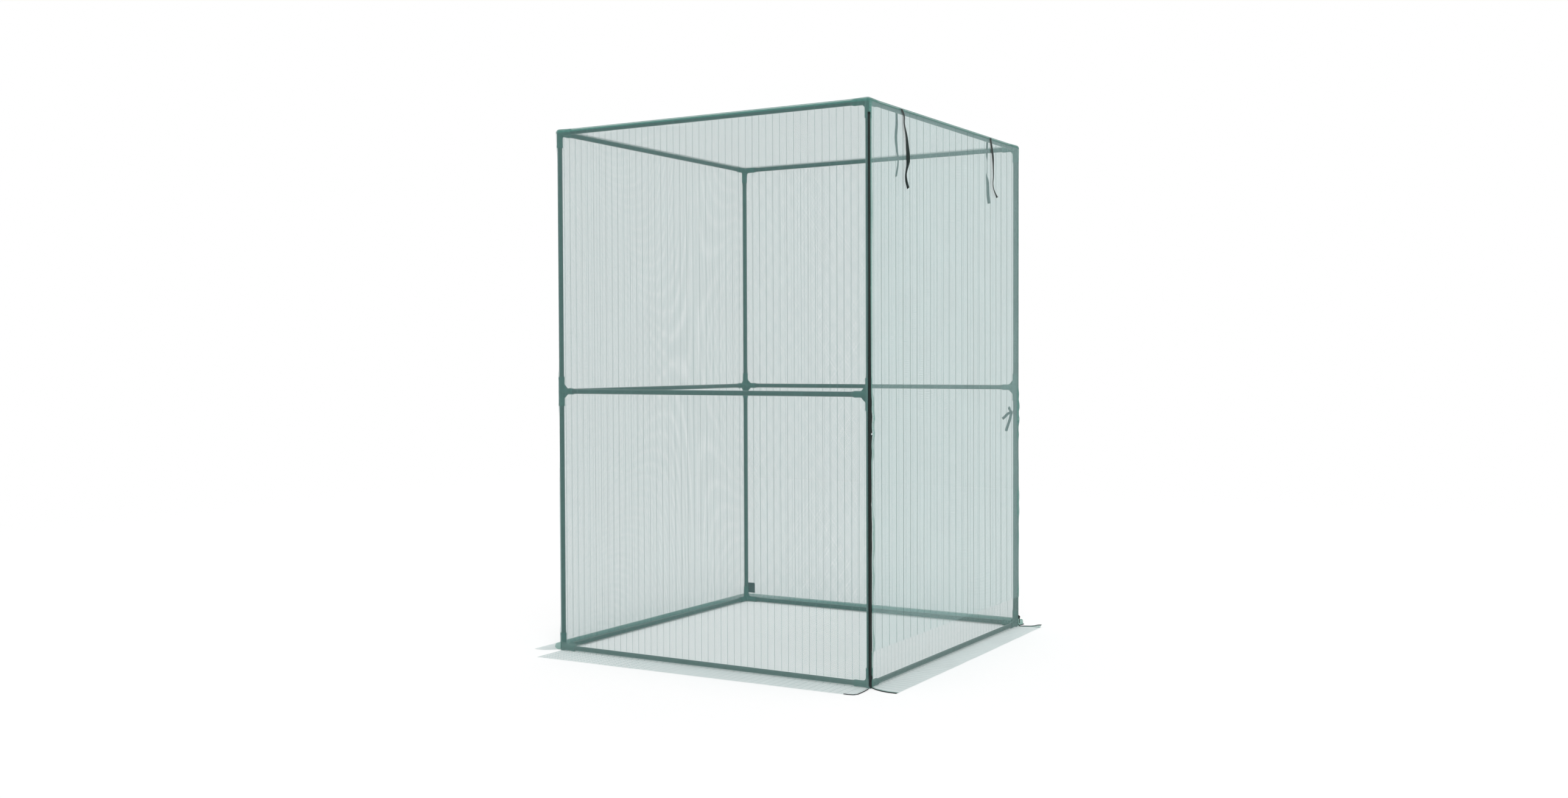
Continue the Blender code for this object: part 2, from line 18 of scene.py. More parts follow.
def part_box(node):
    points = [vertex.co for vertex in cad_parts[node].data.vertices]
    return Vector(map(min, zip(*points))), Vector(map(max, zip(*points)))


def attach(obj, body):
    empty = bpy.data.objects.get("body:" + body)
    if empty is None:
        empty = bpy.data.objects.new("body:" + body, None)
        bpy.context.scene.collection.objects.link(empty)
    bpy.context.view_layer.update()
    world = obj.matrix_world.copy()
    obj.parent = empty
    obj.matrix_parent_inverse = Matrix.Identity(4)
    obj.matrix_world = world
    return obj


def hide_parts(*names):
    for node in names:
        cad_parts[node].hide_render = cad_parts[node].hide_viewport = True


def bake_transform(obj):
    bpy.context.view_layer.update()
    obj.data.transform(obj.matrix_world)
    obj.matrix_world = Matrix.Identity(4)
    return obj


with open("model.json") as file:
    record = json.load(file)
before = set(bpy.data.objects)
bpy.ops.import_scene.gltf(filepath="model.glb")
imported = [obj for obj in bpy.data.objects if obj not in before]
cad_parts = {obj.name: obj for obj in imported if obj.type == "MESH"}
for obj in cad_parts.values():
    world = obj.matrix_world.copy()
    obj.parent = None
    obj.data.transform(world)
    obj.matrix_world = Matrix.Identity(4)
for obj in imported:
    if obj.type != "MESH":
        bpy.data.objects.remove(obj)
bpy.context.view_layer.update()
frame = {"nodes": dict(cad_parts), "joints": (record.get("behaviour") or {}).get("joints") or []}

# %% [markdown]
# The main sizes come from the CAD nodes' own boxes, so nothing here can drift away from the frame.
# The net lies a little inside the outer face of the solid that stands for it.

# %% Sizes of the frame and the cover
post_low, post_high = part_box("post_lower_front_left")
TUBE_RADIUS = (post_high.x - post_low.x) / 2
POST = -(post_high.x + post_low.x) / 2


def middle_height(node):
    low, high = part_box(node)
    return (low.z + high.z) / 2


BOTTOM_Z, MID_Z, TOP_Z = (middle_height(f"{level}_rail_left") for level in ("bottom", "mid", "top"))
COVER_RADIUS = -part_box("wall_net_left")[0].x - POST
CLOTH_RADIUS = COVER_RADIUS - 0.0006
LAYER_LIFT = 0.0004
TAPE_RADIUS = CLOTH_RADIUS - 0.0002
EIGHTH = CLOTH_RADIUS * math.pi / 4
ZIP_TOP = 1.7255
ZIP_FOOT = 0.004
SLIT_TOP = ZIP_TOP + 0.007
SLIT_HALF = 0.0042
DOOR_FOLDS = [j["pos_m"][2] for j in frame["joints"] if j["name"].startswith("door_fold_")]
print("posts", round(POST, 4), "heights", round(MID_Z, 4), round(TOP_Z, 4), "folds", len(DOOR_FOLDS))

# %% [markdown]
# The camera stands where the photographer stood: at about half the cage's height, looking at one
# upright corner. Its lens and turn were fitted to the frame's straight edges.

# %% Camera
camera = bpy.data.objects.new("camera", bpy.data.cameras.new("camera"))
camera.location = (-4.5197, -2.6231, 0.9942)
camera.rotation_euler = [math.radians(turn) for turn in (88.454, 0.218, -59.349)]
camera.data.lens = 33.74
camera.data.clip_end = 200
bpy.context.scene.collection.objects.link(camera)
bpy.context.scene.camera = camera
bpy.context.scene.view_settings.view_transform = "Standard"
print("camera", tuple(camera.location))

# %% [markdown]
# A node tree is easier to read when one short line adds one node. These helpers add a node, do a
# sum, or draw a row of ribs, which is how weave and mesh are made below.

# %% Node helpers


def node(tree, kind, values=(), **settings):
    """Add a shader node; values fill or link its inputs by name or number."""
    made = tree.nodes.new("ShaderNode" + kind)
    for key, value in settings.items():
        setattr(made, key, value)
    for key, value in dict(values).items():
        if isinstance(value, bpy.types.NodeSocket):
            tree.links.new(value, made.inputs[key])
        else:
            made.inputs[key].default_value = value
    return made


def calc(tree, operation, *values, clamp=False):
    """One sum on sockets or numbers."""
    made = node(tree, "Math", dict(enumerate(values)), operation=operation, use_clamp=clamp)
    return made.outputs[0]


def ribs(tree, value, share):
    """A rounded rib in the middle of each whole step of value: 1 on its crest, 0 beside it."""
    off = calc(tree, "ABSOLUTE", calc(tree, "SUBTRACT", calc(tree, "FRACT", value), 0.5))
    fall = calc(tree, "POWER", calc(tree, "DIVIDE", off, share / 2), 2.0)
    return calc(tree, "SUBTRACT", 1.0, fall, clamp=True)


def tinted(tree, share, low, high):
    """A colour that goes from low to high with share."""
    made = node(tree, "Mix", {0: share, 6: low, 7: high}, data_type="RGBA")
    return made.outputs[2]


def cloudy(tree, where, scale, detail=3.0):
    """Soft noise from 0 to 1 at a place."""
    made = node(tree, "TexNoise", {"Vector": where, "Scale": scale, "Detail": detail})
    return made.outputs["Fac"]


def finish(name, roughness, metallic=0.0, specular=0.5, sheen=0.0):
    """A new Principled material, with what is the same all over set on the shader itself."""
    material = bpy.data.materials.new(name)
    material.use_nodes = True
    tree = material.node_tree
    shader = tree.nodes["Principled BSDF"]
    shader.inputs["Roughness"].default_value = roughness
    shader.inputs["Metallic"].default_value = metallic
    shader.inputs["Specular IOR Level"].default_value = specular
    shader.inputs["Sheen Weight"].default_value = sheen
    return material, tree, shader


def raised(tree, shader, height, distance, strength=1.0):
    """Drive the shader's normal from a height."""
    bump = node(tree, "Bump", {"Height": height, "Distance": distance, "Strength": strength})
    tree.links.new(bump.outputs["Normal"], shader.inputs["Normal"])


print("node helpers ready")

# %% [markdown]
# ## The studio
# The photograph is a cut-out on white. A wide pale floor still catches the cage's soft shadow,
# and part of its brightness is only for the camera, more so further out, so the ground stays
# white. One broad sun from the front left and a weaker one from behind right give the tubes their
# shape.

# %% Floor, world and lamps
FLOOR_SIZE = 60.0
FLOOR_GLOW = (0.20, 0.72)
GLOW_REACH = (0.62, 0.95)
FAR_REACH = (1.5, 6.0)
WORLD_LIGHT = 0.80


def seen_directly(tree):
    """1 where the camera, a reflection or glass looks at the surface, and 0 for lighting."""
    path = node(tree, "LightPath").outputs
    either = calc(tree, "MAXIMUM", path["Is Camera Ray"], path["Is Glossy Ray"])
    return calc(tree, "MAXIMUM", either, path["Is Transmission Ray"])


floor_finish, tree, shader = finish("studio_floor", roughness=0.9, specular=0.0)
shader.inputs["Base Color"].default_value = (0.95, 0.95, 0.95, 1.0)
glow = node(tree, "Emission", {"Color": (1.0, 1.0, 1.0, 1.0), "Strength": 1.0})
floor_axes = node(tree, "SeparateXYZ", {0: node(tree, "TexCoord").outputs["Object"]}).outputs
from_middle = calc(tree, "MAXIMUM", calc(tree, "ABSOLUTE", floor_axes["X"]),
                   calc(tree, "ABSOLUTE", floor_axes["Y"]))
near_glow = node(tree, "MapRange", {"Value": from_middle, 1: GLOW_REACH[0], 2: GLOW_REACH[1],
                                    3: FLOOR_GLOW[0], 4: FLOOR_GLOW[1]}).outputs["Result"]
far_glow = node(tree, "MapRange", {"Value": from_middle, 1: FAR_REACH[0], 2: FAR_REACH[1],
                                   3: FLOOR_GLOW[1], 4: 1.0}).outputs["Result"]
strength = calc(tree, "MAXIMUM", near_glow, calc(tree, "MULTIPLY", far_glow, calc(
    tree, "GREATER_THAN", from_middle, GLOW_REACH[1])))
share = calc(tree, "MULTIPLY", seen_directly(tree), strength)
both = node(tree, "MixShader", {0: share, 1: shader.outputs[0], 2: glow.outputs[0]})
tree.links.new(both.outputs[0], tree.nodes["Material Output"].inputs["Surface"])

bm = bmesh.new()
bmesh.ops.create_grid(bm, x_segments=2, y_segments=2, size=FLOOR_SIZE / 2)
bmesh.ops.translate(bm, vec=(0, 0, -0.0002), verts=bm.verts)
floor_mesh = bpy.data.meshes.new("studio_floor")
bm.to_mesh(floor_mesh)
bm.free()
floor_mesh.materials.append(floor_finish)
floor = bpy.data.objects.new("studio_floor", floor_mesh)
bpy.context.scene.collection.objects.link(floor)

world = bpy.data.worlds.new("studio_world")
world.use_nodes = True
bpy.context.scene.world = world
tree = world.node_tree
lighting = tree.nodes["Background"]
lighting.inputs["Color"].default_value = (1.0, 1.0, 1.0, 1.0)
lighting.inputs["Strength"].default_value = WORLD_LIGHT
backdrop = node(tree, "Background", {"Color": (1.0, 1.0, 1.0, 1.0), "Strength": 1.0})
both = node(tree, "MixShader", {0: seen_directly(tree), 1: lighting.outputs[0],
                                2: backdrop.outputs[0]})
tree.links.new(both.outputs[0], tree.nodes["World Output"].inputs["Surface"])

for name, strength, spread, aim in (("key_sun", 1.10, 24, (0.50, 0.34, -0.95)),
                                    ("fill_sun", 0.20, 40, (-0.70, -0.35, -0.60))):
    lamp = bpy.data.objects.new(name, bpy.data.lights.new(name, "SUN"))
    lamp.data.energy = strength
    lamp.data.angle = math.radians(spread)
    lamp.rotation_euler = Vector(aim).to_track_quat("-Z", "Y").to_euler()
    bpy.context.scene.collection.objects.link(lamp)
print("studio ready")

# %% [markdown]
# ## Finishes
# The tube is steel with a thin plastic coat: satin, with the slight orange-peel of a dipped
# coating and faint scuffs that run along it. Noise on Object coordinates gives both, and the
# scuffs only change the gloss.

# %% Tube coating
tube_finish, tree, shader = finish("tube_coating", roughness=0.4, specular=0.5)
where = node(tree, "TexCoord").outputs["Object"]
patches = cloudy(tree, where, 38.0)
peel = cloudy(tree, where, 900.0, detail=1.0)
stretched = node(tree, "Mapping", {"Vector": where, "Scale": (60.0, 60.0, 5.0)}).outputs[0]
scuffs = calc(tree, "MULTIPLY", calc(tree, "SUBTRACT", cloudy(tree, stretched, 4.0), 0.56), 5.0,
              clamp=True)
colour = tinted(tree, patches, (0.009, 0.044, 0.032, 1.0), (0.014, 0.064, 0.046, 1.0))
tree.links.new(tinted(tree, calc(tree, "MULTIPLY", scuffs, 0.25), colour,
                      (0.05, 0.11, 0.09, 1.0)), shader.inputs["Base Color"])
tree.links.new(calc(tree, "MULTIPLY_ADD", scuffs, 0.22, 0.33), shader.inputs["Roughness"])
raised(tree, shader, peel, 0.00006)
print("tube coating ready")

# %% [markdown]
# The connectors are moulded in a brighter green plastic. A fine grain from the mould, a slow
# change of tone and paler, duller patches where hands have rubbed are enough at this size.

# %% Moulded plastic
moulded_finish, tree, shader = finish("moulded_plastic", roughness=0.5, specular=0.5)
where = node(tree, "TexCoord").outputs["Object"]
grain = cloudy(tree, where, 1500.0, detail=2.0)
tone = cloudy(tree, where, 55.0)
rubbed = calc(tree, "MULTIPLY", calc(tree, "SUBTRACT", cloudy(tree, where, 120.0), 0.52), 4.0,
              clamp=True)
colour = tinted(tree, tone, (0.011, 0.070, 0.052, 1.0), (0.020, 0.110, 0.082, 1.0))
tree.links.new(tinted(tree, calc(tree, "MULTIPLY", rubbed, 0.3), colour,
                      (0.07, 0.26, 0.20, 1.0)), shader.inputs["Base Color"])
tree.links.new(calc(tree, "MULTIPLY_ADD", grain, 0.18, 0.40), shader.inputs["Roughness"])
raised(tree, shader, grain, 0.00005)
print("moulded plastic ready")

# %% [markdown]
# The net is knitted monofilament: slanting strands cross in flat diamonds, and upright chains of
# stitches, the wales, run through them as fine dotted lines. Cutting every hole as a face would
# take millions, so the sheet is one layer of cloth and the holes are in its alpha. Each strand is
# a rib on the cloth's own UV map, which is in metres, so its size is right on every wall.

# %% Net
SIDE_DIAMOND = (0.0042, 0.0056)
DOOR_DIAMOND = (0.0036, 0.0034)
ROOF_DIAMOND = (0.0050, 0.0044)
WALE_SPACING = 0.0250
WALE_WIDTH = 0.0013
STITCH_HEIGHT = 0.0020


def net_finish(name, strand_share, thread, wale_thread, wale_spacing=WALE_SPACING,
               wale_width=WALE_WIDTH, diamond=SIDE_DIAMOND):
    """A see-through net whose slanting strands each take strand_share of their spacing."""
    material, tree, shader = finish(name, roughness=0.62, specular=0.35, sheen=0.1)
    cloth_map = node(tree, "UVMap", uv_map="cloth").outputs["UV"]
    axes = node(tree, "SeparateXYZ", {"Vector": cloth_map}).outputs
    across = calc(tree, "DIVIDE", axes["X"], diamond[0])
    up = calc(tree, "DIVIDE", axes["Y"], diamond[1])
    rising = ribs(tree, calc(tree, "ADD", across, up), strand_share)
    falling = ribs(tree, calc(tree, "SUBTRACT", across, up), strand_share)
    wales = calc(tree, "DIVIDE", axes["X"], wale_spacing)
    chain = ribs(tree, wales, wale_width / wale_spacing)
    stitches = ribs(tree, calc(tree, "DIVIDE", axes["Y"], STITCH_HEIGHT), 0.62)
    dots = calc(tree, "MULTIPLY", chain, stitches)
    strands = calc(tree, "MAXIMUM", rising, falling)
    height = calc(tree, "MAXIMUM", strands, dots)
    tree.links.new(calc(tree, "GREATER_THAN", height, 0.001), shader.inputs["Alpha"])
    weight = node(tree, "TexWhiteNoise", {"W": calc(tree, "FLOOR", wales)},
                  noise_dimensions="1D").outputs["Value"]
    dark = calc(tree, "MULTIPLY", calc(tree, "GREATER_THAN", chain, 0.001),
                calc(tree, "MULTIPLY_ADD", weight, 0.6, 0.4))
    fade = cloudy(tree, cloth_map, 7.0, detail=2.0)
    paler = tuple(min(1.0, v * 1.12) for v in thread) + (1.0,)
    deeper = tuple(v * 0.90 for v in thread) + (1.0,)
    colour = tinted(tree, fade, deeper, paler)
    tree.links.new(tinted(tree, dark, colour, (*wale_thread, 1.0)), shader.inputs["Base Color"])
    raised(tree, shader, height, 0.0002, strength=0.6)
    return material


THREAD = (0.180, 0.335, 0.330)
WALE_THREAD = (0.09, 0.19, 0.18)
STRAND_SHARE = 0.146
FAR_WALES = (0.030, 0.0008)
side_net_finish = net_finish("side_net", STRAND_SHARE, THREAD, WALE_THREAD)
far_net_finish = net_finish("far_net", STRAND_SHARE, THREAD, WALE_THREAD, *FAR_WALES)
rear_wall_finish = net_finish("rear_net", STRAND_SHARE, THREAD, WALE_THREAD, *FAR_WALES,
                              DOOR_DIAMOND)
roof_net_finish = net_finish("roof_net_knit", STRAND_SHARE, THREAD, WALE_THREAD,
                             diamond=ROOF_DIAMOND)
door_net_finish = net_finish("door_net", 0.258, (0.335, 0.510, 0.500), (0.06, 0.16, 0.14),
                             0.050, 0.0036, DOOR_DIAMOND)
skirt_net_finish = net_finish("skirt_net", 0.185, (0.28, 0.43, 0.42), WALE_THREAD)
band_net_finish = net_finish("band_net", 0.52, (0.13, 0.34, 0.28), (0.06, 0.17, 0.14))
hem_finish = net_finish("hem_net", 0.28, (0.095, 0.300, 0.250), (0.06, 0.18, 0.15))
print("net cover share", round(1 - (1 - STRAND_SHARE) ** 2, 3))

# %% [markdown]
# The zip's tape is a black woven tape with a twill line and a row of stitches near each edge. Its
# coils are a dull, very dark green plastic. The ribbons are woven the same way in a very dark green,
# with ribs across them. All of these follow the UV map too. The tape, ribbons and tag are coloured
# darker between their ribs than on the crests: painted shade.

# %% Tape, coil, ribbon and tag
def woven_finish(name, low, high, rib_size, slant, stitched_at=(), stitch_colour=None):
    """A woven tape: slanting or straight ribs with painted shade between them, soft wear, and rows of
    stitches along it.
    """
    material, tree, shader = finish(name, roughness=0.78, specular=0.3, sheen=0.15)
    cloth_map = node(tree, "UVMap", uv_map="cloth").outputs["UV"]
    axes = node(tree, "SeparateXYZ", {"Vector": cloth_map}).outputs
    lean = calc(tree, "MULTIPLY_ADD", axes["X"], slant, axes["Y"])
    height = ribs(tree, calc(tree, "DIVIDE", lean, rib_size), 0.9)
    cross = ribs(tree, calc(tree, "DIVIDE", axes["X"], rib_size * 1.3), 0.9)
    height = calc(tree, "MULTIPLY", height, calc(tree, "MULTIPLY_ADD", cross, 0.5, 0.5))
    wear = cloudy(tree, cloth_map, 260.0)
    # Colour follows the ribs: crests lighter and grooves darker, which is painted shade; the noise mixed
    # in is soft wear.
    rib_shade_and_wear = calc(tree, "MULTIPLY_ADD", height, 0.6, calc(tree, "MULTIPLY", wear, 0.4))
    colour = tinted(tree, rib_shade_and_wear, (*low, 1.0), (*high, 1.0))
    for place in stitched_at:
        beside = calc(tree, "ABSOLUTE", calc(tree, "SUBTRACT", axes["X"], place))
        on_line = calc(tree, "LESS_THAN", beside, 0.00035)
        thread = ribs(tree, calc(tree, "DIVIDE", axes["Y"], 0.0030), 0.72)
        stitch = calc(tree, "MULTIPLY", on_line, thread)
        colour = tinted(tree, calc(tree, "GREATER_THAN", stitch, 0.01), colour,
                        (*stitch_colour, 1.0))
        height = calc(tree, "MAXIMUM", height, calc(tree, "MULTIPLY", stitch, 2.0))
    tree.links.new(colour, shader.inputs["Base Color"])
    raised(tree, shader, height, 0.00018)
    return material


def mottled_finish(name, low, high, scale, roughness, metallic=0.0, bump=0.00004):
    """A plain hard finish with soft mottling, on Object coordinates."""
    material, tree, shader = finish(name, roughness=roughness, metallic=metallic)
    where = node(tree, "TexCoord").outputs["Object"]
    mottle = cloudy(tree, where, scale)
    tree.links.new(tinted(tree, mottle, (*low, 1.0), (*high, 1.0)), shader.inputs["Base Color"])
    tree.links.new(calc(tree, "MULTIPLY_ADD", mottle, 0.25, roughness - 0.12),
                   shader.inputs["Roughness"])
    raised(tree, shader, cloudy(tree, where, scale * 6), bump)
    return material


tape_finish = woven_finish("zip_tape", (0.004, 0.008, 0.007), (0.014, 0.022, 0.020), 0.0008, 0.8,
                           (-0.0052, 0.0052), (0.030, 0.050, 0.045))
ribbon_finish = woven_finish("tie_ribbon", (0.004, 0.010, 0.009), (0.016, 0.034, 0.030), 0.0007,
                             0.0, (-0.0044, 0.0044), (0.010, 0.026, 0.022))
binding_finish = woven_finish("edge_binding", (0.004, 0.008, 0.008), (0.014, 0.026, 0.024), 0.0006,
                              0.3)
tag_finish = woven_finish("woven_tag", (0.030, 0.034, 0.034), (0.062, 0.068, 0.067), 0.0005, 0.0,
                          (-0.0155,), (0.12, 0.14, 0.13))
coil_finish = mottled_finish("zip_coil", (0.008, 0.014, 0.012), (0.024, 0.034, 0.030), 900.0, 0.50)
slider_finish = mottled_finish("slider_paint", (0.020, 0.022, 0.023), (0.050, 0.053, 0.054), 500.0,
                               0.40, metallic=0.85)
print("woven finishes ready")

# %% [markdown]
# ## Making pieces
# Each piece is a bmesh that becomes one object at the origin. It is told which body holds it: the
# name of a body, which it then rides on, or two bodies and a stretch round a fold, which go unused.

# %% Piece helpers


def make_piece(bm, name, finishes, holder, slot, replaces=(), sharp=None):
    """Turn a bmesh into a piece that rides on a body; given two bodies, it is only left in place."""
    mesh = bpy.data.meshes.new(name)
    bm.to_mesh(mesh)
    bm.free()
    mesh.shade_smooth()
    if sharp:
        mesh.set_sharp_from_angle(angle=math.radians(sharp))
    for item in finishes:
        mesh.materials.append(item)
    made = bpy.data.objects.new(name, mesh)
    bpy.context.scene.collection.objects.link(made)
    if isinstance(holder, str):
        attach(made, holder)
    else:
        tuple(holder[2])
        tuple(holder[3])
        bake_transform(made)
    if replaces:
        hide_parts(*replaces)
    return made


def add_rod(bm, start, end, radius, sides=40):
    """A round rod from start to end, as a closed shell in the bmesh."""
    start, end = Vector(start), Vector(end)
    run = end - start
    made = bmesh.ops.create_cone(bm, cap_ends=True, segments=sides, radius1=radius,
                                 radius2=radius, depth=run.length)
    turn = Vector((0, 0, 1)).rotation_difference(run).to_matrix().to_4x4()
    place = Matrix.Translation((start + end) / 2) @ turn
    bmesh.ops.transform(bm, matrix=place, verts=made["verts"])
    return made["verts"]


def add_block(bm, size, place, soft=0.0, segments=1):
    """A block with softened edges, put in place by a matrix."""
    made = bmesh.ops.create_cube(bm, size=1.0)["verts"]
    bmesh.ops.transform(bm, matrix=Matrix.Diagonal((*size, 1.0)), verts=made)
    if soft:
        edges = list({e for v in made for e in v.link_edges})
        made = list({v for f in bmesh.ops.bevel(bm, geom=edges, offset=soft, affect="EDGES",
                                                segments=segments, profile=0.5,
                                                material=-1)["faces"] for v in f.verts})
        made = list({v for start in made for f in start.link_faces for v in f.verts})
    bmesh.ops.transform(bm, matrix=place, verts=made)
    return made


def marks(*spans):
    """Positions along a sheet, from spans of (from, to, about how far apart)."""
    found = [spans[0][0]]
    for start, end, pitch in spans:
        count = max(1, round(abs(end - start) / pitch))
        found += [start + (end - start) * i / count for i in range(1, count + 1)]
    return found


def cloth(bm, columns, rows, place, keep=None, flip=False, finish_number=0):
    """Add a sheet: place(u, v) says where cloth u metres across and v metres along it lies."""
    wide, tall = len(columns) - 1, len(rows) - 1
    made = bmesh.ops.create_grid(bm, x_segments=wide, y_segments=tall, size=0.5)["verts"]
    cloth_map = bm.loops.layers.uv.get("cloth") or bm.loops.layers.uv.new("cloth")
    spots = {}
    for vert in made:
        i, j = round((vert.co.x + 0.5) * wide), round((vert.co.y + 0.5) * tall)
        spots[vert] = (columns[i], rows[j])
    faces = list({f for v in made for f in v.link_faces})
    dropped = []
    for face in faces:
        face.material_index = finish_number
        for loop in face.loops:
            loop[cloth_map].uv = spots[loop.vert]
        u, v = (sum(spots[w][k] for w in face.verts) / len(face.verts) for k in (0, 1))
        if keep and not keep(u, v):
            dropped.append(face)
    for vert, (u, v) in spots.items():
        vert.co = place(u, v)
    if flip:
        bmesh.ops.reverse_faces(bm, faces=faces)
    if dropped:
        bmesh.ops.delete(bm, geom=dropped, context="FACES")
    return [f for f in faces if f.is_valid]


def thicken(bm, faces, thickness):
    """Give a sheet a thickness, on the side its faces look away from."""
    bmesh.ops.solidify(bm, geom=faces, thickness=thickness)


print("piece helpers ready")

# %% [markdown]
# ## Tubes
# The CAD tubes are right in size but have few sides. Each is made again as a real thin-walled
# tube with 48 sides: two rings, bridged, then extruded along the tube's own box.

# %% Smooth tubes
TUBE_SIDES = 48
TUBE_WALL = 0.0007


def smooth_tube(name):
    """Make a thin-walled tube on a CAD tube's own axis."""
    low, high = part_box(name)
    size = high - low
    axis = max(range(3), key=lambda i: size[i])
    centre = (low + high) / 2
    bm = bmesh.new()
    for radius in (TUBE_RADIUS, TUBE_RADIUS - TUBE_WALL):
        bmesh.ops.create_circle(bm, segments=TUBE_SIDES, radius=radius)
    ring = bmesh.ops.bridge_loops(bm, edges=bm.edges[:])["faces"]
    made = bmesh.ops.extrude_face_region(bm, geom=ring)["geom"]
    far = [g for g in made if isinstance(g, bmesh.types.BMVert)]
    bmesh.ops.translate(bm, vec=(0, 0, size[axis]), verts=far)
    run = Vector([1.0 if i == axis else 0.0 for i in range(3)])
    turn = Vector((0, 0, 1)).rotation_difference(run).to_matrix().to_4x4()
    start = centre - run * size[axis] / 2
    bmesh.ops.transform(bm, matrix=Matrix.Translation(start) @ turn, verts=bm.verts)
    bmesh.ops.recalc_face_normals(bm, faces=bm.faces)
    return make_piece(bm, "tube_" + name, [tube_finish], "cage", "tube", [name], sharp=40)


tubes = [smooth_tube(name) for name in sorted(frame["nodes"])
         if "_rail_" in name or name.startswith("post_")]
print("tubes", len(tubes))

# %% [markdown]
# ## Connectors
# A moulded joint has no sharp inside corners: its sockets, hub and webs flow into each other.
# Rods, a ball and flat webs are put together in one mesh, voxel remeshing joins them into one
# skin, and smoothing rounds every inside corner as a mould does. Decimating keeps it light, and
# the bores for the tubes are cut last, so they stay round.

# %% Moulded connectors
SLEEVE_RADIUS = 0.0100
COLLAR_RADIUS = 0.0106
HUB_RADIUS = 0.0105
SOCKET_REACH = 0.050
BORE_RADIUS = 0.0083
CORNER_WEB = 0.0075
MID_WEB = 0.0150
WEB_THICKNESS = 0.0060


def add_web(bm, first, second, leg):
    """The flat web in the corner between two sockets."""
    root = SLEEVE_RADIUS * 0.8
    reach = 2 * SLEEVE_RADIUS + leg - root
    depth = first.cross(second) * WEB_THICKNESS / 2
    corners = [(first + second) * root, first * reach + second * root,
               first * root + second * reach]
    face = bm.faces.new([bm.verts.new(c - depth) for c in corners])
    made = bmesh.ops.extrude_face_region(bm, geom=[face])["geom"]
    bmesh.ops.translate(bm, vec=depth * 2,
                        verts=[g for g in made if isinstance(g, bmesh.types.BMVert)])


def applied(obj):
    """The object's mesh with its modifiers applied; the object itself is removed."""
    graph = bpy.context.evaluated_depsgraph_get()
    mesh = bpy.data.meshes.new_from_object(obj.evaluated_get(graph))
    bpy.data.objects.remove(obj)
    return mesh


def scratch(bm, name):
    """A short-lived object from a bmesh."""
    bmesh.ops.recalc_face_normals(bm, faces=bm.faces)
    mesh = bpy.data.meshes.new(name)
    bm.to_mesh(mesh)
    bm.free()
    made = bpy.data.objects.new(name, mesh)
    bpy.context.scene.collection.objects.link(made)
    return made


def moulding(name, arms, stops, foot, leg):
    """The mesh of one kind of connector about its own middle."""
    bm = bmesh.new()
    bmesh.ops.create_uvsphere(bm, u_segments=32, v_segments=20, radius=HUB_RADIUS)
    bores = bmesh.new()
    for arm, stop in zip(arms, stops):
        add_rod(bm, (0, 0, 0), arm * SOCKET_REACH, SLEEVE_RADIUS)
        add_rod(bm, arm * (SOCKET_REACH - 0.008), arm * (SOCKET_REACH - 0.0008), COLLAR_RADIUS)
        add_rod(bores, arm * stop, arm * (SOCKET_REACH + 0.02), BORE_RADIUS, sides=48)
    for i, first in enumerate(arms):
        for second in arms[i + 1:]:
            if abs(first.dot(second)) < 0.5:
                add_web(bm, first, second, leg)
    if foot:
        add_rod(bm, (0, 0, 0), (0, 0, -BOTTOM_Z), SLEEVE_RADIUS - 0.0008)
    skin = scratch(bm, name)
    remesh = skin.modifiers.new("skin", "REMESH")
    remesh.mode = "VOXEL"
    remesh.voxel_size = 0.0009
    remesh.use_smooth_shade = True
    smooth = skin.modifiers.new("flow", "SMOOTH")
    smooth.factor = 0.5
    smooth.iterations = 5
    lighter = skin.modifiers.new("lighter", "DECIMATE")
    lighter.ratio = 0.22
    cutter = scratch(bores, name + "_bores")
    cut = skin.modifiers.new("bores", "BOOLEAN")
    cut.operation = "DIFFERENCE"
    cut.solver = "EXACT"
    cut.object = cutter
    mesh = applied(skin)
    bpy.data.objects.remove(cutter)
    return mesh


X, Y, Z = Vector((1, 0, 0)), Vector((0, 1, 0)), Vector((0, 0, 1))
END_STOP, THROUGH_STOP = 0.0122, 0.0020
KINDS = {
    "bottom": moulding("footed", [X, Y, Z], [END_STOP] * 3, True, CORNER_WEB),
    "top": moulding("capped", [X, Y, -Z], [END_STOP] * 3, False, CORNER_WEB),
    "mid": moulding("cross", [X, Y, Z, -Z], [END_STOP, END_STOP, THROUGH_STOP, THROUGH_STOP],
                    False, MID_WEB),
    "tee": moulding("tee", [Y, Z, -Z], [END_STOP, THROUGH_STOP, THROUGH_STOP], False, MID_WEB),
}
CORNERS = {"front_left": (-1, -1, 0), "front_right": (1, -1, 1), "rear_right": (1, 1, 2),
           "rear_left": (-1, 1, 3)}
for level, height in (("bottom", BOTTOM_Z), ("mid", MID_Z), ("top", TOP_Z)):
    for corner, (side_x, side_y, quarters) in CORNERS.items():
        kind = "tee" if level == "mid" and side_y < 0 else level
        turn = Matrix.Rotation(0 if kind == "tee" else quarters * math.pi / 2, 4, "Z")
        bm = bmesh.new()
        bm.from_mesh(KINDS[kind])
        place = Matrix.Translation((side_x * POST, side_y * POST, height)) @ turn
        bmesh.ops.transform(bm, matrix=place, verts=bm.verts)
        make_piece(bm, f"joint_{level}_{corner}", [moulded_finish], "cage", "connector",
                   [f"{level}_connector_{corner}"], sharp=50)
print("connector faces", {kind: len(mesh.polygons) for kind, mesh in KINDS.items()})

# %% [markdown]
# ## The net cover
# Cloth that is u metres from the middle of a side lies flat between the posts and then wraps
# round them. One small function says where, for every side and every layer. Between the posts
# the net is nearly flat: it bellies by about a millimetre at most, and is held along the tubes.

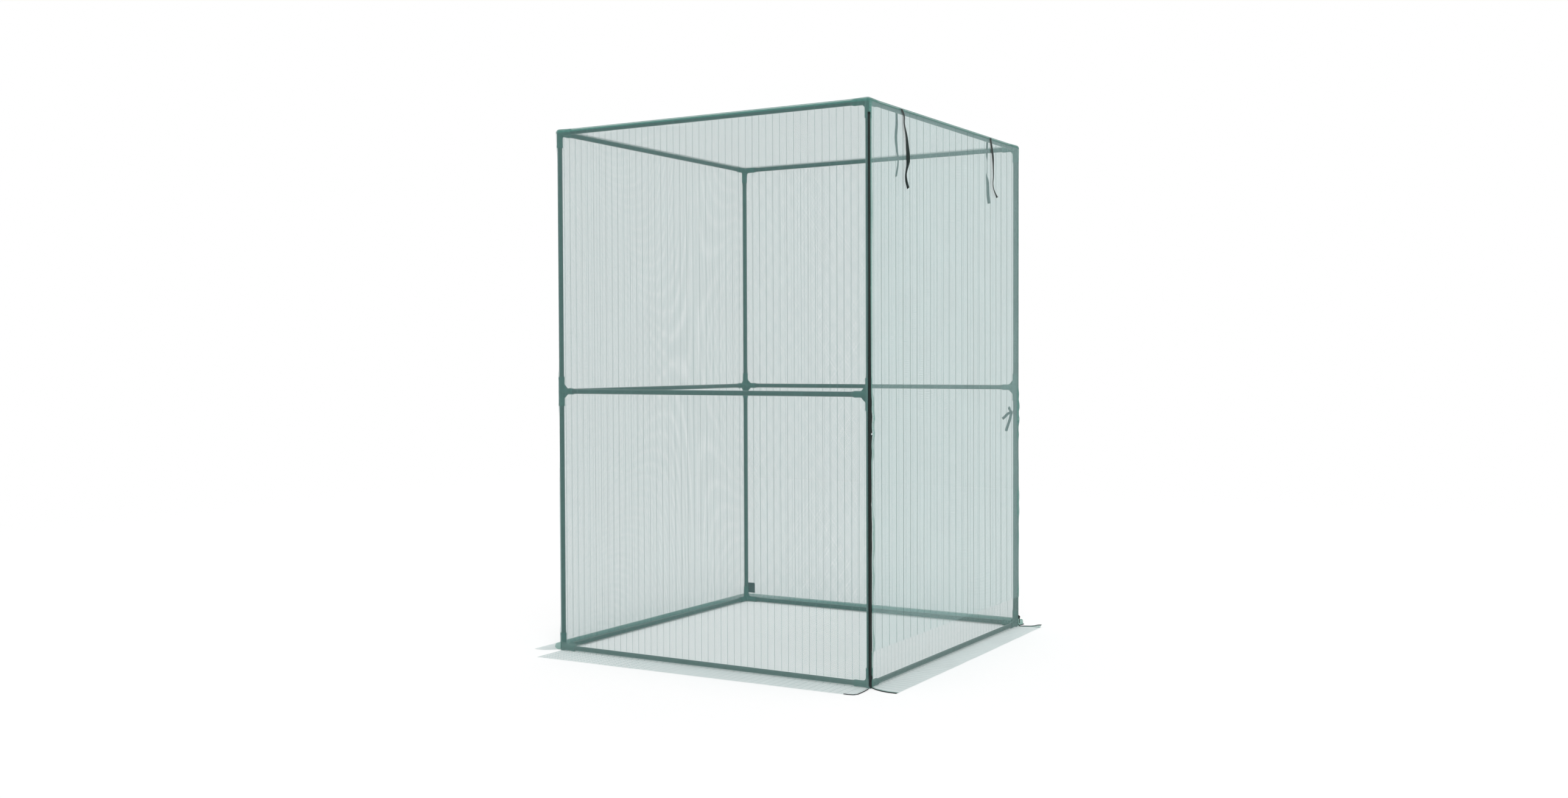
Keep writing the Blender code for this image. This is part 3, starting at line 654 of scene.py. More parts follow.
# %% How the cover lies
BELLY = 0.0011
CORNER_GATHER = 0.070
CORNER_FULLNESS = 0.0016
HUG = 0.0024
HUG_PAST_JOINT = (0.055, 0.030)
HUG_BESIDE_POST = (0.060, 0.055)
HUG_BY_ZIP = 0.0023
SLIT_SPREAD = 0.0008
SLIT_EASES_AT = (0.75, 0.55)
CORNER_TUCK = 0.010
HELD_EDGE, HELD_MIDDLE = 0.15, 0.12
HUGGED = {"left": (False, True), "right": (True, True), "rear": (True, True),
          "door": (False, False)}


def wrap(u, radius):
    """(along the side, out from the middle) of cloth u metres from the middle of a side."""
    past = abs(u) - POST
    if past <= 0:
        return u, POST + radius
    angle = past / CLOTH_RADIUS
    return math.copysign(POST + radius * math.sin(angle), u), POST + radius * math.cos(angle)


def ease(value):
    """0 below 0, 1 above 1, and smooth between."""
    value = max(0.0, min(1.0, value))
    return value * value * (3 - 2 * value)


def fullness(u, across):
    """How far the gathered cloth at a top corner stands off, u and across from the side's middle."""
    near = ease(1 - (POST - min(abs(across), POST)) / CORNER_GATHER)
    return CORNER_FULLNESS * near * max(0.0, min(1.0, (abs(u) - POST + CORNER_TUCK) / CORNER_TUCK))


def hug(side, u, z):
    """How much closer the cloth lies to a post between its connectors, where it is pulled tight."""
    if not HUGGED[side][u > 0]:
        return 0.0
    from_joint = min(abs(z - level) for level in (BOTTOM_Z, MID_Z, TOP_Z))
    by_zip = 0.0 if side == "rear" or (side != "door" and u > 0) else (abs(u) - POST) / HUG_BY_ZIP
    past_joint = ease((from_joint - HUG_PAST_JOINT[0]) / HUG_PAST_JOINT[1])
    beside_post = ease((abs(u) - POST + HUG_BESIDE_POST[0]) / HUG_BESIDE_POST[1])
    return HUG * past_joint * beside_post * (1 - ease(by_zip))


def parted(side, u, z):
    """Where cloth beside a zip goes as the zip is pulled open a little in its lower half."""
    beside_zip = side == "door" or (side != "rear" and u < 0)
    slit = EIGHTH - SLIT_HALF
    past = abs(u) - POST
    if not beside_zip or past <= 0 or past > slit + 1e-6 or z > SLIT_TOP:
        return u
    wider = SLIT_SPREAD * (1 - 2 * ease((z - SLIT_EASES_AT[0]) / SLIT_EASES_AT[1]))
    return math.copysign(POST + past * (slit - wider) / slit, u)


def belly(u, z, seed):
    """How far a side's net stands in or out between the tubes that hold it."""
    held = [(POST - abs(u)) / HELD_EDGE, (TOP_Z - z) / HELD_EDGE, (z - BOTTOM_Z) / HELD_EDGE,
            abs(z - MID_Z) / HELD_MIDDLE]
    hold = max(0.0, min(1.0, *held))
    return BELLY * hold * noise.noise(Vector((u * 3.1, z * 2.3, seed)))


SIDES = {"left": lambda along, out, z: Vector((-out, along, z)),
         "right": lambda along, out, z: Vector((out, along, z)),
         "rear": lambda along, out, z: Vector((along, out, z)),
         "door": lambda along, out, z: Vector((along, -out, z))}
SEEDS = {"left": 1.7, "right": 8.3, "rear": 15.1, "door": 23.9}


def on_side(side, u, z, lift=0.0):
    """The point of a side's cover u metres across and z up, lifted off the cloth by lift."""
    u = parted(side, u, z)
    level = z - TOP_Z + POST
    full = max(fullness(u, level), fullness(level, u))
    along, out = wrap(u, CLOTH_RADIUS + lift + full - hug(side, u, z))
    return SIDES[side](along, out + belly(u, z, SEEDS[side]), z)


WALL_FOOT = 0.030
ARC_STEP = EIGHTH / 5
print("corner cloth", round(EIGHTH * 1000, 2), "mm each side of a zip")

# %% [markdown]
# The side walls run from the zip to the rear posts and the rear wall wraps round both rear posts.
# They are cut off 30 mm above the ground, where the skirts take over, except round the posts.

# %% Walls
def build_wall(side, front, rear, replaced):
    """One wall of net, from u = front to u = rear."""
    spans = [(front, front + SLIT_HALF, ARC_STEP), (front + SLIT_HALF, -POST, ARC_STEP),
             (-POST, -POST + 0.06, 0.012), (-POST + 0.06, POST - 0.06, 0.036),
             (POST - 0.06, POST, 0.012)]
    if rear > POST:
        spans.append((POST, rear, ARC_STEP))
    columns = marks(*spans)
    rows = marks((0.0014, WALL_FOOT, 0.007), (WALL_FOOT, 0.110, 0.014), (0.110, MID_Z - 0.09, 0.045),
                 (MID_Z - 0.09, MID_Z + 0.09, 0.014), (MID_Z + 0.09, TOP_Z - 0.09, 0.045),
                 (TOP_Z - 0.09, SLIT_TOP, 0.011), (SLIT_TOP, TOP_Z, 0.006))

    def keep(u, z):
        if side == "rear":
            return z > WALL_FOOT or abs(u) > POST
        return (z > WALL_FOOT or u > POST) and (z > SLIT_TOP or u > front + SLIT_HALF)

    bm = bmesh.new()
    cloth(bm, columns, rows, lambda u, z: on_side(side, u, z), keep, side in ("left", "rear"))
    made = make_piece(bm, "net_" + side, [WALL_FINISHES[side]], "cage", "net", [replaced])
    return made


ZIP_EDGE = POST + EIGHTH
REAR_EDGE = POST + 2 * EIGHTH
WALL_FINISHES = {"left": side_net_finish, "right": far_net_finish, "rear": rear_wall_finish}
build_wall("left", -ZIP_EDGE, POST, "wall_net_left")
build_wall("right", -ZIP_EDGE, POST, "wall_net_right")
build_wall("rear", -REAR_EDGE, REAR_EDGE, "wall_net_rear")
print("walls made")

# %% [markdown]
# The roof is one sheet whose edges bend down over the top rails, and whose corners are rounded
# like a ball. A grid gets there when each border step becomes an angle: the larger of its two
# angles says how far down the cloth has turned, and their share says towards which side. The
# seam with the walls is a second, denser layer along the same edge.

# %% Roof
ROOF_EDGE = POST + 2 * EIGHTH
ROOF_SAG = 0.004


def on_roof(u, v, lift=0.0):
    """The point of the roof cloth at u, v metres from its middle."""
    radius = CLOTH_RADIUS + lift + max(fullness(u, v), fullness(v, u))
    turned = [max(0.0, abs(w) - POST) / CLOTH_RADIUS for w in (u, v)]
    down = min(max(turned), math.pi / 2)
    if down == 0:
        heading = 0.0
    elif turned[0] >= turned[1]:
        heading = turned[1] / turned[0] * math.pi / 4
    else:
        heading = math.pi / 2 - turned[0] / turned[1] * math.pi / 4
    x = math.copysign(min(abs(u), POST) + radius * math.sin(down) * math.cos(heading), u)
    y = math.copysign(min(abs(v), POST) + radius * math.sin(down) * math.sin(heading), v)
    inner = max(0.0, 1 - (u / POST) ** 2) * max(0.0, 1 - (v / POST) ** 2)
    return Vector((x, y, TOP_Z + radius * math.cos(down) - ROOF_SAG * inner))


edge_marks = marks((-ROOF_EDGE, -POST, ARC_STEP), (-POST, -POST + 0.012, 0.006),
                   (-POST + 0.012, -POST + 0.072, 0.012), (-POST + 0.072, POST - 0.072, 0.04),
                   (POST - 0.072, POST - 0.012, 0.012), (POST - 0.012, POST, 0.006),
                   (POST, ROOF_EDGE, ARC_STEP))
bm = bmesh.new()
cloth(bm, edge_marks, edge_marks, on_roof)
cloth(bm, edge_marks, edge_marks, lambda u, v: on_roof(u, v, LAYER_LIFT),
      keep=lambda u, v: max(abs(u), abs(v)) > POST - 0.004, finish_number=1)
roof = make_piece(bm, "net_roof", [roof_net_finish, hem_finish], "cage", "net", ["roof_net"])
print("roof made")

# %% [markdown]
# ## The door
# The door's cloth hangs from the roof's seam and folds at eight lines. Cloth that crosses a fold
# has to bend, so the door is cut half-way between the folds, where nothing bends, and each piece
# is given the bodies on either side of its fold, though nothing here makes it bend. Each piece
# carries a denser hem beside both zips, which puffs out here and there where the zip gathers it.

# %% Door pieces
FOLD_ZONE = 0.026
HEM_WIDTH = 0.013
HEM_LEAST = 0.30
HEM_FULL_AT = 0.0028
PUFFS = ((0.862, 0.018, 0.0050), (0.818, 0.017, 0.0100), (0.768, 0.020, 0.0085),
         (0.712, 0.014, 0.0045), (0.487, 0.026, 0.0044), (0.430, 0.024, 0.0046),
         (0.330, 0.030, 0.0024), (0.135, 0.030, 0.0024), (1.440, 0.060, 0.0010))
SKIRT_BEND = 0.0073
GROUND = 0.0008
bends = sorted(DOOR_FOLDS, reverse=True)
panel = bends[0] - bends[1]
cuts = [TOP_Z] + [z - panel / 2 for z in bends]


def puff(z):
    """How far the hem beside a zip stands proud at a height."""
    return sum(high * math.exp(-((z - at) / wide) ** 2) for at, wide, high in PUFFS)


def hem_at(u, z):
    """Where the hem's cloth goes: it is narrow, and wider where the zip gathers it."""
    inner = POST - abs(u)
    if inner <= 0:
        return u
    share = min(1.0, HEM_LEAST + (1 - HEM_LEAST) * puff(z) / HEM_FULL_AT)
    return math.copysign(POST - inner * share, u)


def on_door(u, z, lift=0.0):
    """The point of the door's cloth u metres across and z up."""
    past = abs(abs(u) - POST + 0.001) / 0.0080
    proud = puff(z) * math.exp(-past ** 2) * (1.0 if u < 0 else 0.6)
    return on_side("door", u, z, lift + proud)


def off_the_coil(u, z):
    """Whether the net is there, for it stops short of the coils as far up as the zip goes."""
    return z > SLIT_TOP or abs(u) < ZIP_EDGE - SLIT_HALF


def hem_columns(sign):
    """Where the hem's columns lie beside one zip."""
    slit = ZIP_EDGE - SLIT_HALF
    return sorted(sign * w for w in marks((POST - HEM_WIDTH, POST, 0.0037), (POST, slit, ARC_STEP),
                                          (slit, ZIP_EDGE, ARC_STEP)))


def door_sheets(bm, rows, place):
    """The door's net between two heights, with the hems beside the zips."""
    slit = ZIP_EDGE - SLIT_HALF
    columns = marks((-ZIP_EDGE, -slit, ARC_STEP), (-slit, -POST, ARC_STEP),
                    (-POST, -POST + 0.02, 0.005), (-POST + 0.02, POST - 0.06, 0.037),
                    (POST - 0.06, POST - 0.02, 0.013), (POST - 0.02, POST, 0.005),
                    (POST, slit, ARC_STEP), (slit, ZIP_EDGE, ARC_STEP))
    cloth(bm, columns, rows, place, off_the_coil)
    for sign in (-1, 1):
        cloth(bm, hem_columns(sign), rows, lambda u, z: place(hem_at(u, z), z, LAYER_LIFT), off_the_coil,
              finish_number=1)


bodies = ["cage"] + [f"door_{k}" for k in range(1, 9)]


def over_fold(number, fold):
    """The two bodies on either side of a fold, and the stretch round it."""
    return (bodies[number], bodies[number + 1],
            Vector((0, -POST - CLOTH_RADIUS, fold + FOLD_ZONE if number else TOP_Z)),
            Vector((0, -POST - CLOTH_RADIUS, fold - FOLD_ZONE)))


for number, fold in enumerate(bends):
    high, low = cuts[number], cuts[number + 1]
    top_edge = min(high, fold + FOLD_ZONE)
    rows = marks((low, fold - FOLD_ZONE, 0.014), (fold - FOLD_ZONE, top_edge, 0.004))
    if high > top_edge + 0.001:
        rows += marks((top_edge, high, 0.014))[1:]
    if low < SLIT_TOP < high:
        rows = sorted(rows + [SLIT_TOP])
    bm = bmesh.new()
    door_sheets(bm, rows, on_door)
    made = make_piece(bm, f"door_net_{number + 1}", [door_net_finish, hem_finish],
                      over_fold(number, fold), "net", [f"door_panel_{number + 1}"])
print("door pieces", len(bends), "panel height", round(panel, 4))

# %% [markdown]
# ## Skirts
# At the ground the net turns out and lies flat, where soil or stones hold it down. The same
# sheet goes down the last of the wall, round a tight bend and out; it is given the body above and
# the skirt's own body on either side of that bend, though nothing here bends it between them. The
# outer edges are cut a little unevenly, and the two front corners are bound with a narrow black
# tape. The rear and the right skirt carry a second, denser layer, which draws in towards the corners
# as it goes out.

# %% How a skirt lies
def down_and_out(d, top):
    """(reach, height) of cloth d metres along a line that comes down from top and turns out."""
    straight = top - GROUND - SKIRT_BEND
    arc = SKIRT_BEND * math.pi / 2
    if d <= straight:
        return 0.0, top - d
    if d <= straight + arc:
        angle = (d - straight) / SKIRT_BEND
        return SKIRT_BEND * (1 - math.cos(angle)), GROUND + SKIRT_BEND * (1 - math.sin(angle))
    return SKIRT_BEND + d - straight - arc, GROUND


def on_skirt(side, u, d, top, reach_at, flare_at, lift=0.0):
    """The point of a skirt u metres across, d metres of cloth down from top."""
    straight = top - GROUND - SKIRT_BEND
    arc = SKIRT_BEND * math.pi / 2
    flat = d - straight - arc
    full = SKIRT_LENGTHS[side] - SKIRT_BEND
    share = max(0.0, flat) / full
    scaled = straight + arc + share * (reach_at(u) - SKIRT_BEND) if flat > 0 else d
    reach, z = down_and_out(scaled, top)
    along, out = wrap(u, CLOTH_RADIUS + (lift if flat <= 0 else 0.0))
    out += max(0.0, POST + CLOTH_RADIUS - out) * ease((d - straight + 0.012) / 0.020)
    swell = 0.0005 * (1 + noise.noise(Vector((u * 9.0, d * 14.0, SEEDS[side])))) * min(1.0, share * 6)
    swell *= 1 - ease((abs(u) - POST + 0.030) / 0.020)
    edge = 0.0012 * share * noise.noise(Vector((u * 24.0, 3.3, SEEDS[side])))
    if side == "door" and u > 0:
        swell += TIP_LIFT * ease((u - POST + 0.004) / 0.012) * ease((share - 0.45) / 0.5)
    along += flare_at(u) * min(1.0, share * 1.8) ** 0.7 if share > 0 else 0.0
    return SIDES[side](along, out + reach + edge, z + swell + (lift if flat > 0 else 0.0))


BAND_MITRE = 2.3
TIP_LIFT = 0.0075
SKIRT_LENGTHS = {"left": 0.1359, "right": 0.1359, "rear": 0.0885, "door": 0.0960}


def slide(value, *stops):
    """Straight lines between (position, amount) stops."""
    for (a, low), (b, high) in zip(stops, stops[1:]):
        if value <= b:
            share = min(1.0, max(0.0, (value - a) / (b - a)))
            return low + (high - low) * share
    return stops[-1][1]


def side_reach(u):
    return slide(u, (-ZIP_EDGE, 0.082), (-POST - 0.004, 0.097), (-POST, 0.101), (-0.565, 0.1056),
                 (POST, 0.1290))


def side_flare(u):
    return slide(u, (-ZIP_EDGE, -0.0055), (-POST, -0.003), (-0.55, 0.0), (POST, 0.0))


def right_reach(u):
    return slide(u, (-ZIP_EDGE, 0.042), (-POST, 0.060), (-0.560, 0.1359), (POST, 0.130))


def door_reach(u):
    return slide(u, (-ZIP_EDGE, 0.0960), (0.0, 0.0900), (ZIP_EDGE, 0.0800))


def door_flare(u):
    return slide(u, (-ZIP_EDGE, -0.0240), (-POST, -0.018), (-0.50, 0.0), (0.50, 0.0),
                 (POST, 0.018), (ZIP_EDGE, 0.0240))


def rear_reach(u):
    return SKIRT_LENGTHS["rear"]


def rear_flare(u):
    return slide(u, (-POST, -0.036), (-0.50, 0.0), (0.50, 0.0), (POST, 0.036))


def skirt_rows(side, top):
    """Where a skirt's rows lie along its cloth, close together over the bend."""
    straight = top - GROUND - SKIRT_BEND
    arc = SKIRT_BEND * math.pi / 2
    spans = [(0.0, max(0.001, straight - 0.014), 0.028)] if top > 0.05 else []
    begin = spans[0][1] if spans else 0.0
    spans += [(begin, straight, 0.004), (straight, straight + arc, 0.0019),
              (straight + arc, straight + arc + 0.02, 0.005),
              (straight + arc + 0.02, straight + arc + SKIRT_LENGTHS[side] - SKIRT_BEND, 0.016)]
    return marks(*spans)


def build_skirt(side, name, top, columns, reach_at, flare_at, holder, replaced):
    """A skirt with the foot of its wall, as one sheet, and its band where it has one."""
    bm = bmesh.new()
    rows = skirt_rows(side, top)

    def place(u, d, lift=0.0):
        return on_skirt(side, u, d, top, reach_at, flare_at, lift)

    # The cloth's own height runs on down from the wall, so the mesh pattern meets at the join
    def keep(u, v):
        return v < 0.008 or off_the_coil(u, v)

    def on_band(u, v):
        point = place(u, top - v, LAYER_LIFT)
        flat = max(0.0, top - v - rows[-1] + SKIRT_LENGTHS[side] - SKIRT_BEND)
        along = 0 if side == "rear" else 1
        if side == "rear" or u > 0:
            point[along] *= 1 - BAND_MITRE * ease((abs(u) / POST - 0.4) / 0.6) * flat
        return point

    cloth(bm, columns, [top - d for d in rows], lambda u, v: place(u, top - v), keep,
          side in ("left", "rear"))
    if side in ("right", "rear"):
        cloth(bm, columns, [top - d for d in rows], on_band, keep, side == "rear", 2)
    if side == "door":
        for sign in (-1, 1):
            cloth(bm, hem_columns(sign), [top - d for d in rows],
                  lambda u, v: place(hem_at(u, v), top - v, LAYER_LIFT), keep, finish_number=1)
    made = make_piece(bm, name, [skirt_net_finish, hem_finish, band_net_finish], holder, "net",
                      replaced)
    return made, place, rows


print("skirt helpers ready")

# %% Four skirts
fold_out = POST + CLOTH_RADIUS
side_columns = marks((-ZIP_EDGE, -ZIP_EDGE + SLIT_HALF, ARC_STEP),
                     (-ZIP_EDGE + SLIT_HALF, -POST, ARC_STEP), (-POST, -POST + 0.04, 0.008),
                     (-POST + 0.04, POST, 0.03))
rear_columns = marks((-POST, -POST + 0.012, 0.012), (-POST + 0.012, POST - 0.012, 0.03),
                     (POST - 0.012, POST, 0.012))
door_columns = marks((-ZIP_EDGE, -ZIP_EDGE + SLIT_HALF, ARC_STEP),
                     (-ZIP_EDGE + SLIT_HALF, -POST, ARC_STEP), (-POST, -POST + 0.1, 0.012),
                     (-POST + 0.1, POST - 0.1, 0.035), (POST - 0.1, POST, 0.012),
                     (POST, ZIP_EDGE - SLIT_HALF, ARC_STEP),
                     (ZIP_EDGE - SLIT_HALF, ZIP_EDGE, ARC_STEP))


def bend_ends(side):
    """The two ends of the stretch over which a skirt's cloth turns."""
    return (SIDES[side](0.0, fold_out, GROUND), SIDES[side](0.0, fold_out + 0.024, GROUND))


left = build_skirt("left", "net_skirt_left", WALL_FOOT, side_columns, side_reach, side_flare,
                   ("cage", "skirt_left", *bend_ends("left")), ["skirt_left"])
right = build_skirt("right", "net_skirt_right", WALL_FOOT, side_columns, right_reach, side_flare,
                    ("cage", "skirt_right", *bend_ends("right")), ["skirt_right"])
rear = build_skirt("rear", "net_skirt_rear", WALL_FOOT, rear_columns, rear_reach, rear_flare,
                   ("cage", "skirt_rear", *bend_ends("rear")), ["skirt_rear"])
door = build_skirt("door", "net_skirt_door", cuts[-1], door_columns, door_reach, door_flare,
                   ("door_8", "door_skirt", *bend_ends("door")), ["door_skirt"])
print("skirts made")

# %% [markdown]
# The black binding follows the front edge of each skirt corner, and on the left skirt it turns the
# corner for a few centimetres. It is the same sheet again, four millimetres wide and thickened, so
# it lies on the skirt's edge as the skirt is shaped here.

# %% Bindings on the front corners
BINDING_WIDTH = 0.0040
BINDING_HEIGHT = 0.0016


def build_binding(name, skirt, edge, inward, holder):
    """A narrow thick strip along one edge of a skirt."""
    _, place, rows = skirt
    bm = bmesh.new()
    columns = sorted(edge + inward * BINDING_WIDTH * i / 4 for i in range(5))
    shown = [r for r in rows if r > rows[-1] - 0.130]

    def rolled(u, d):
        over = math.sin(math.pi * abs(u - edge) / BINDING_WIDTH)
        return place(u, d) + Vector((0, 0, LAYER_LIFT + BINDING_HEIGHT * over))

    faces = cloth(bm, columns, shown, rolled)
    if name.endswith("skirt_left"):
        def turned(u, d):
            over = math.sin(math.pi * (rows[-1] - d) / BINDING_WIDTH)
            return place(u, d) + Vector((0, 0, LAYER_LIFT + BINDING_HEIGHT * over))

        outer = [rows[-1] - BINDING_WIDTH * (4 - i) / 4 for i in range(5)]
        faces += cloth(bm, marks((edge, -POST, 0.002), (-POST, -0.562, 0.006)), outer, turned)
    thicken(bm, faces, 0.0006)
    bmesh.ops.recalc_face_normals(bm, faces=bm.faces)
    return make_piece(bm, name, [binding_finish], holder, "tie", sharp=40)


for side, skirt, body in (("left", left, "skirt_left"), ("right", right, "skirt_right")):
    build_binding(f"binding_skirt_{side}", skirt, -ZIP_EDGE, 1,
                  ("cage", body, *bend_ends(side)))
for side, edge in (("left", -ZIP_EDGE), ("right", ZIP_EDGE)):
    build_binding(f"binding_door_{side}", door, edge, -1 if edge > 0 else 1,
                  ("door_8", "door_skirt", *bend_ends("door")))
print("bindings made")

# %% [markdown]
# ## Zips
# A zip goes up each front corner. Half of its tape and coil is made for the cage and half for the
# door: the wall's half rides on the cage and the door's lowest piece on door_8, while the door's
# other pieces are given the bodies round their folds but only left in place. The coil is a row of
# small rounded loops that reach past the middle in turn. One loop is made and repeated by a spin that
# only moves, and each has a few dozen faces, because there are hundreds of them.

# %% Tape and coil
COIL_PITCH = 0.0022
COIL_LOOP = (0.0034, 0.0014, 0.00115)
COIL_REACH = 0.0007
COIL_RADIUS = TAPE_RADIUS + 0.0006
TAPE_HALF = 0.0066
TAPE_THICKNESS = 0.0005


def build_zip_half(name, side, high, low, holder, from_door, top_rows):
    """Half of a zip's tape and coil between two heights, on the door's or the wall's side."""
    sign = -1 if side == "left" else 1
    hand = 1 if from_door else -1
    bm = bmesh.new()
    across = sorted(hand * w for w in marks((0.0, TAPE_HALF, 0.0016)))

    def on_tape(w, z):
        heading = sign * (math.pi / 4 - w / COVER_RADIUS)
        proud = puff(z) * 0.35 * max(0.0, w * hand / TAPE_HALF) if from_door else 0.0
        radius = TAPE_RADIUS + proud
        return Vector((sign * POST + radius * math.sin(heading),
                       -POST - radius * math.cos(heading), z))

    rows = [z for z in top_rows if low - 1e-6 <= z <= high + 1e-6]
    faces = cloth(bm, across, rows, on_tape, flip=side == "right")
    thicken(bm, faces, TAPE_THICKNESS)
    loops_low = max(low, ZIP_FOOT + COIL_PITCH)
    loops_high = min(high, ZIP_TOP)
    first = math.ceil(loops_low / COIL_PITCH + (0.0 if from_door else 0.5))
    last = math.floor(loops_high / COIL_PITCH - (0.5 if from_door else 0.0))
    shift = 0.0 if from_door else 0.5
    heading = sign * math.pi / 4
    out = Vector((math.sin(heading), -math.cos(heading), 0))
    along = Vector((-math.cos(heading), -math.sin(heading), 0)) * sign * hand
    middle = Vector((sign * POST, -POST, 0)) + out * COIL_RADIUS
    centre = middle + along * (COIL_LOOP[0] / 2 - COIL_REACH)
    place = Matrix((along, out, Vector((0, 0, 1)))).transposed().to_4x4()
    place.translation = centre + Vector((0, 0, (first + shift) * COIL_PITCH))
    before = set(bm.verts)
    add_block(bm, COIL_LOOP, place, soft=0.0004)
    loop = [v for v in bm.verts if v not in before]
    geometry = loop + list({e for v in loop for e in v.link_edges}) + \
        list({f for v in loop for f in v.link_faces})
    for face in {f for v in loop for f in v.link_faces}:
        face.material_index = 1
    count = last - first
    if count > 0:
        bmesh.ops.spin(bm, geom=geometry, cent=(0, 0, 0), axis=(0, 0, 1),
                       dvec=(0, 0, COIL_PITCH), angle=0.0, steps=count, use_duplicate=True)
    bmesh.ops.recalc_face_normals(bm, faces=bm.faces)
    return make_piece(bm, name, [tape_finish, coil_finish], holder, "zip", sharp=45), count + 1


near_folds = [z + o for z in bends for o in (-0.02, -0.013, -0.0065, 0, 0.0065, 0.013, 0.02)]
tape_rows = sorted({round(z, 5) for z in marks((ZIP_FOOT, SLIT_TOP, 0.0136)) + cuts + near_folds
                    if ZIP_FOOT <= z <= SLIT_TOP})
total = 0
for side in ("left", "right"):
    made, count = build_zip_half(f"zip_wall_half_{side}", side, SLIT_TOP, ZIP_FOOT, "cage", False,
                                 tape_rows)
    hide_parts("zip_" + side)
    total += count
    for number, fold in enumerate(bends):
        made, count = build_zip_half(f"zip_door_half_{side}_{number + 1}", side,
                                     min(SLIT_TOP, cuts[number]), cuts[number + 1],
                                     over_fold(number, fold), True, tape_rows)
        total += count
    made, count = build_zip_half(f"zip_door_half_{side}_9", side, cuts[-1], ZIP_FOOT, "door_8",
                                 True, tape_rows)
    total += count
print("coil loops", total)

# %% [markdown]
# The zip's ends: a stitched bar closes it at the top, and a small metal clasp at the foot.

# %% Zip ends
for side, sign in (("left", -1), ("right", 1)):
    heading = sign * math.pi / 4
    out = Vector((math.sin(heading), -math.cos(heading), 0))
    along = Vector((math.cos(heading), math.sin(heading), 0))
    for name, z, size, item, slot in (
            ("zip_top_bar", ZIP_TOP + 0.0015, (0.0078, 0.0016, 0.0034), tape_finish, "zip"),
            ("zip_foot_clasp", ZIP_FOOT + 0.0030, (0.0072, 0.0024, 0.0052), slider_finish, "slider")):
        bm = bmesh.new()
        place = Matrix((along, out, Vector((0, 0, 1)))).transposed().to_4x4()
        place.translation = Vector((sign * POST, -POST, z)) + out * (TAPE_RADIUS + 0.0005)
        add_block(bm, size, place, soft=0.0005, segments=3)
        bmesh.ops.recalc_face_normals(bm, faces=bm.faces)
        make_piece(bm, f"{name}_{side}", [item], "cage", slot, sharp=50)
print("zip ends made")

# %% [markdown]
# ## Slider and pull
# The cast slider and its pull are small, and their CAD shape is right, so each is that mesh with
# its corners softened: the loose triangles are merged, flat ones joined, and a bevel rounds what
# is left, as casting and paint do.

# %% Softened castings
def softened(node_name, name, body, width):
    """A copy of a CAD node with rounded edges."""
    bm = bmesh.new()
    bm.from_mesh(frame["nodes"][node_name].data)
    bmesh.ops.remove_doubles(bm, verts=bm.verts, dist=0.00002)
    bmesh.ops.dissolve_limit(bm, angle_limit=math.radians(2), verts=bm.verts, edges=bm.edges)
    block = scratch(bm, name + "_block")
    rounding = block.modifiers.new("rounding", "BEVEL")
    rounding.width = width
    rounding.segments = 3
    rounding.limit_method = "ANGLE"
    rounding.angle_limit = math.radians(35)
    rounding.use_clamp_overlap = True
    mesh = applied(block)
    bm = bmesh.new()
    bm.from_mesh(mesh)
    return make_piece(bm, name, [slider_finish], body, "slider", [node_name], sharp=50)


for side in ("left", "right"):
    softened(f"zip_slider_{side}", f"slider_{side}", f"slider_{side}", 0.00035)
    softened(f"zip_pull_{side}", f"pull_{side}", f"pull_{side}", 0.00022)
print("sliders made")

# %% [markdown]
# ## Ribbons
# Two pairs of ribbons hang from the top of the door: one outside, one inside, to tie the rolled
# door up. A ribbon turns as it hangs, which is why it looks wide in one place and thin in another.
# Each follows a few measured points, with its own turn at each, smoothed to many rows.

# %% Hanging ribbons
RIBBON_WIDTH = 0.0115
RIBBON_THICKNESS = 0.0006


def smooth_line(points, count):
    """Even rows on a smooth line through points that are (x, y, z, turn)."""
    spread = []
    last = len(points) - 1
    for i in range(count + 1):
        t = i / count * last
        k = min(int(t), last - 1)
        f = t - k
        around = [points[max(0, min(last, k + o))] for o in (-1, 0, 1, 2)]
        spread.append([0.5 * (2 * b + (c - a) * f + (2 * a - 5 * b + 4 * c - d) * f * f
                              + (3 * b - a - 3 * c + d) * f ** 3)
                       for a, b, c, d in zip(*around)])
    return spread


def lengths_along(line):
    """The length of a line up to each of its points."""
    lengths = [0.0]
    for a, b in zip(line, line[1:]):
        lengths.append(lengths[-1] + (Vector(b[:3]) - Vector(a[:3])).length)
    return lengths


def ribbon(bm, points, count, tip, width=RIBBON_WIDTH):
    """A ribbon down a line; its turn is the heading of its width, in degrees from +X to -Y."""
    line = smooth_line(points, count)
    lengths = lengths_along(line)

    def place(w, d):
        k = min(range(len(lengths)), key=lambda i: abs(lengths[i] - d))
        x, y, z, turn = line[k]
        heading = math.radians(turn)
        across = Vector((math.cos(heading), -math.sin(heading), 0))
        cup = 0.0006 * (1 - (2 * w / width) ** 2)
        face = Vector((math.sin(heading), math.cos(heading), 0))
        slant = Vector((0, 0, tip * w / width)) if k == len(line) - 1 else Vector()
        return Vector((x, y, z)) + across * w + face * cup + slant

    faces = cloth(bm, marks((-width / 2, width / 2, width / 6)), lengths, place)
    thicken(bm, faces, RIBBON_THICKNESS)
    return lengths[-1]


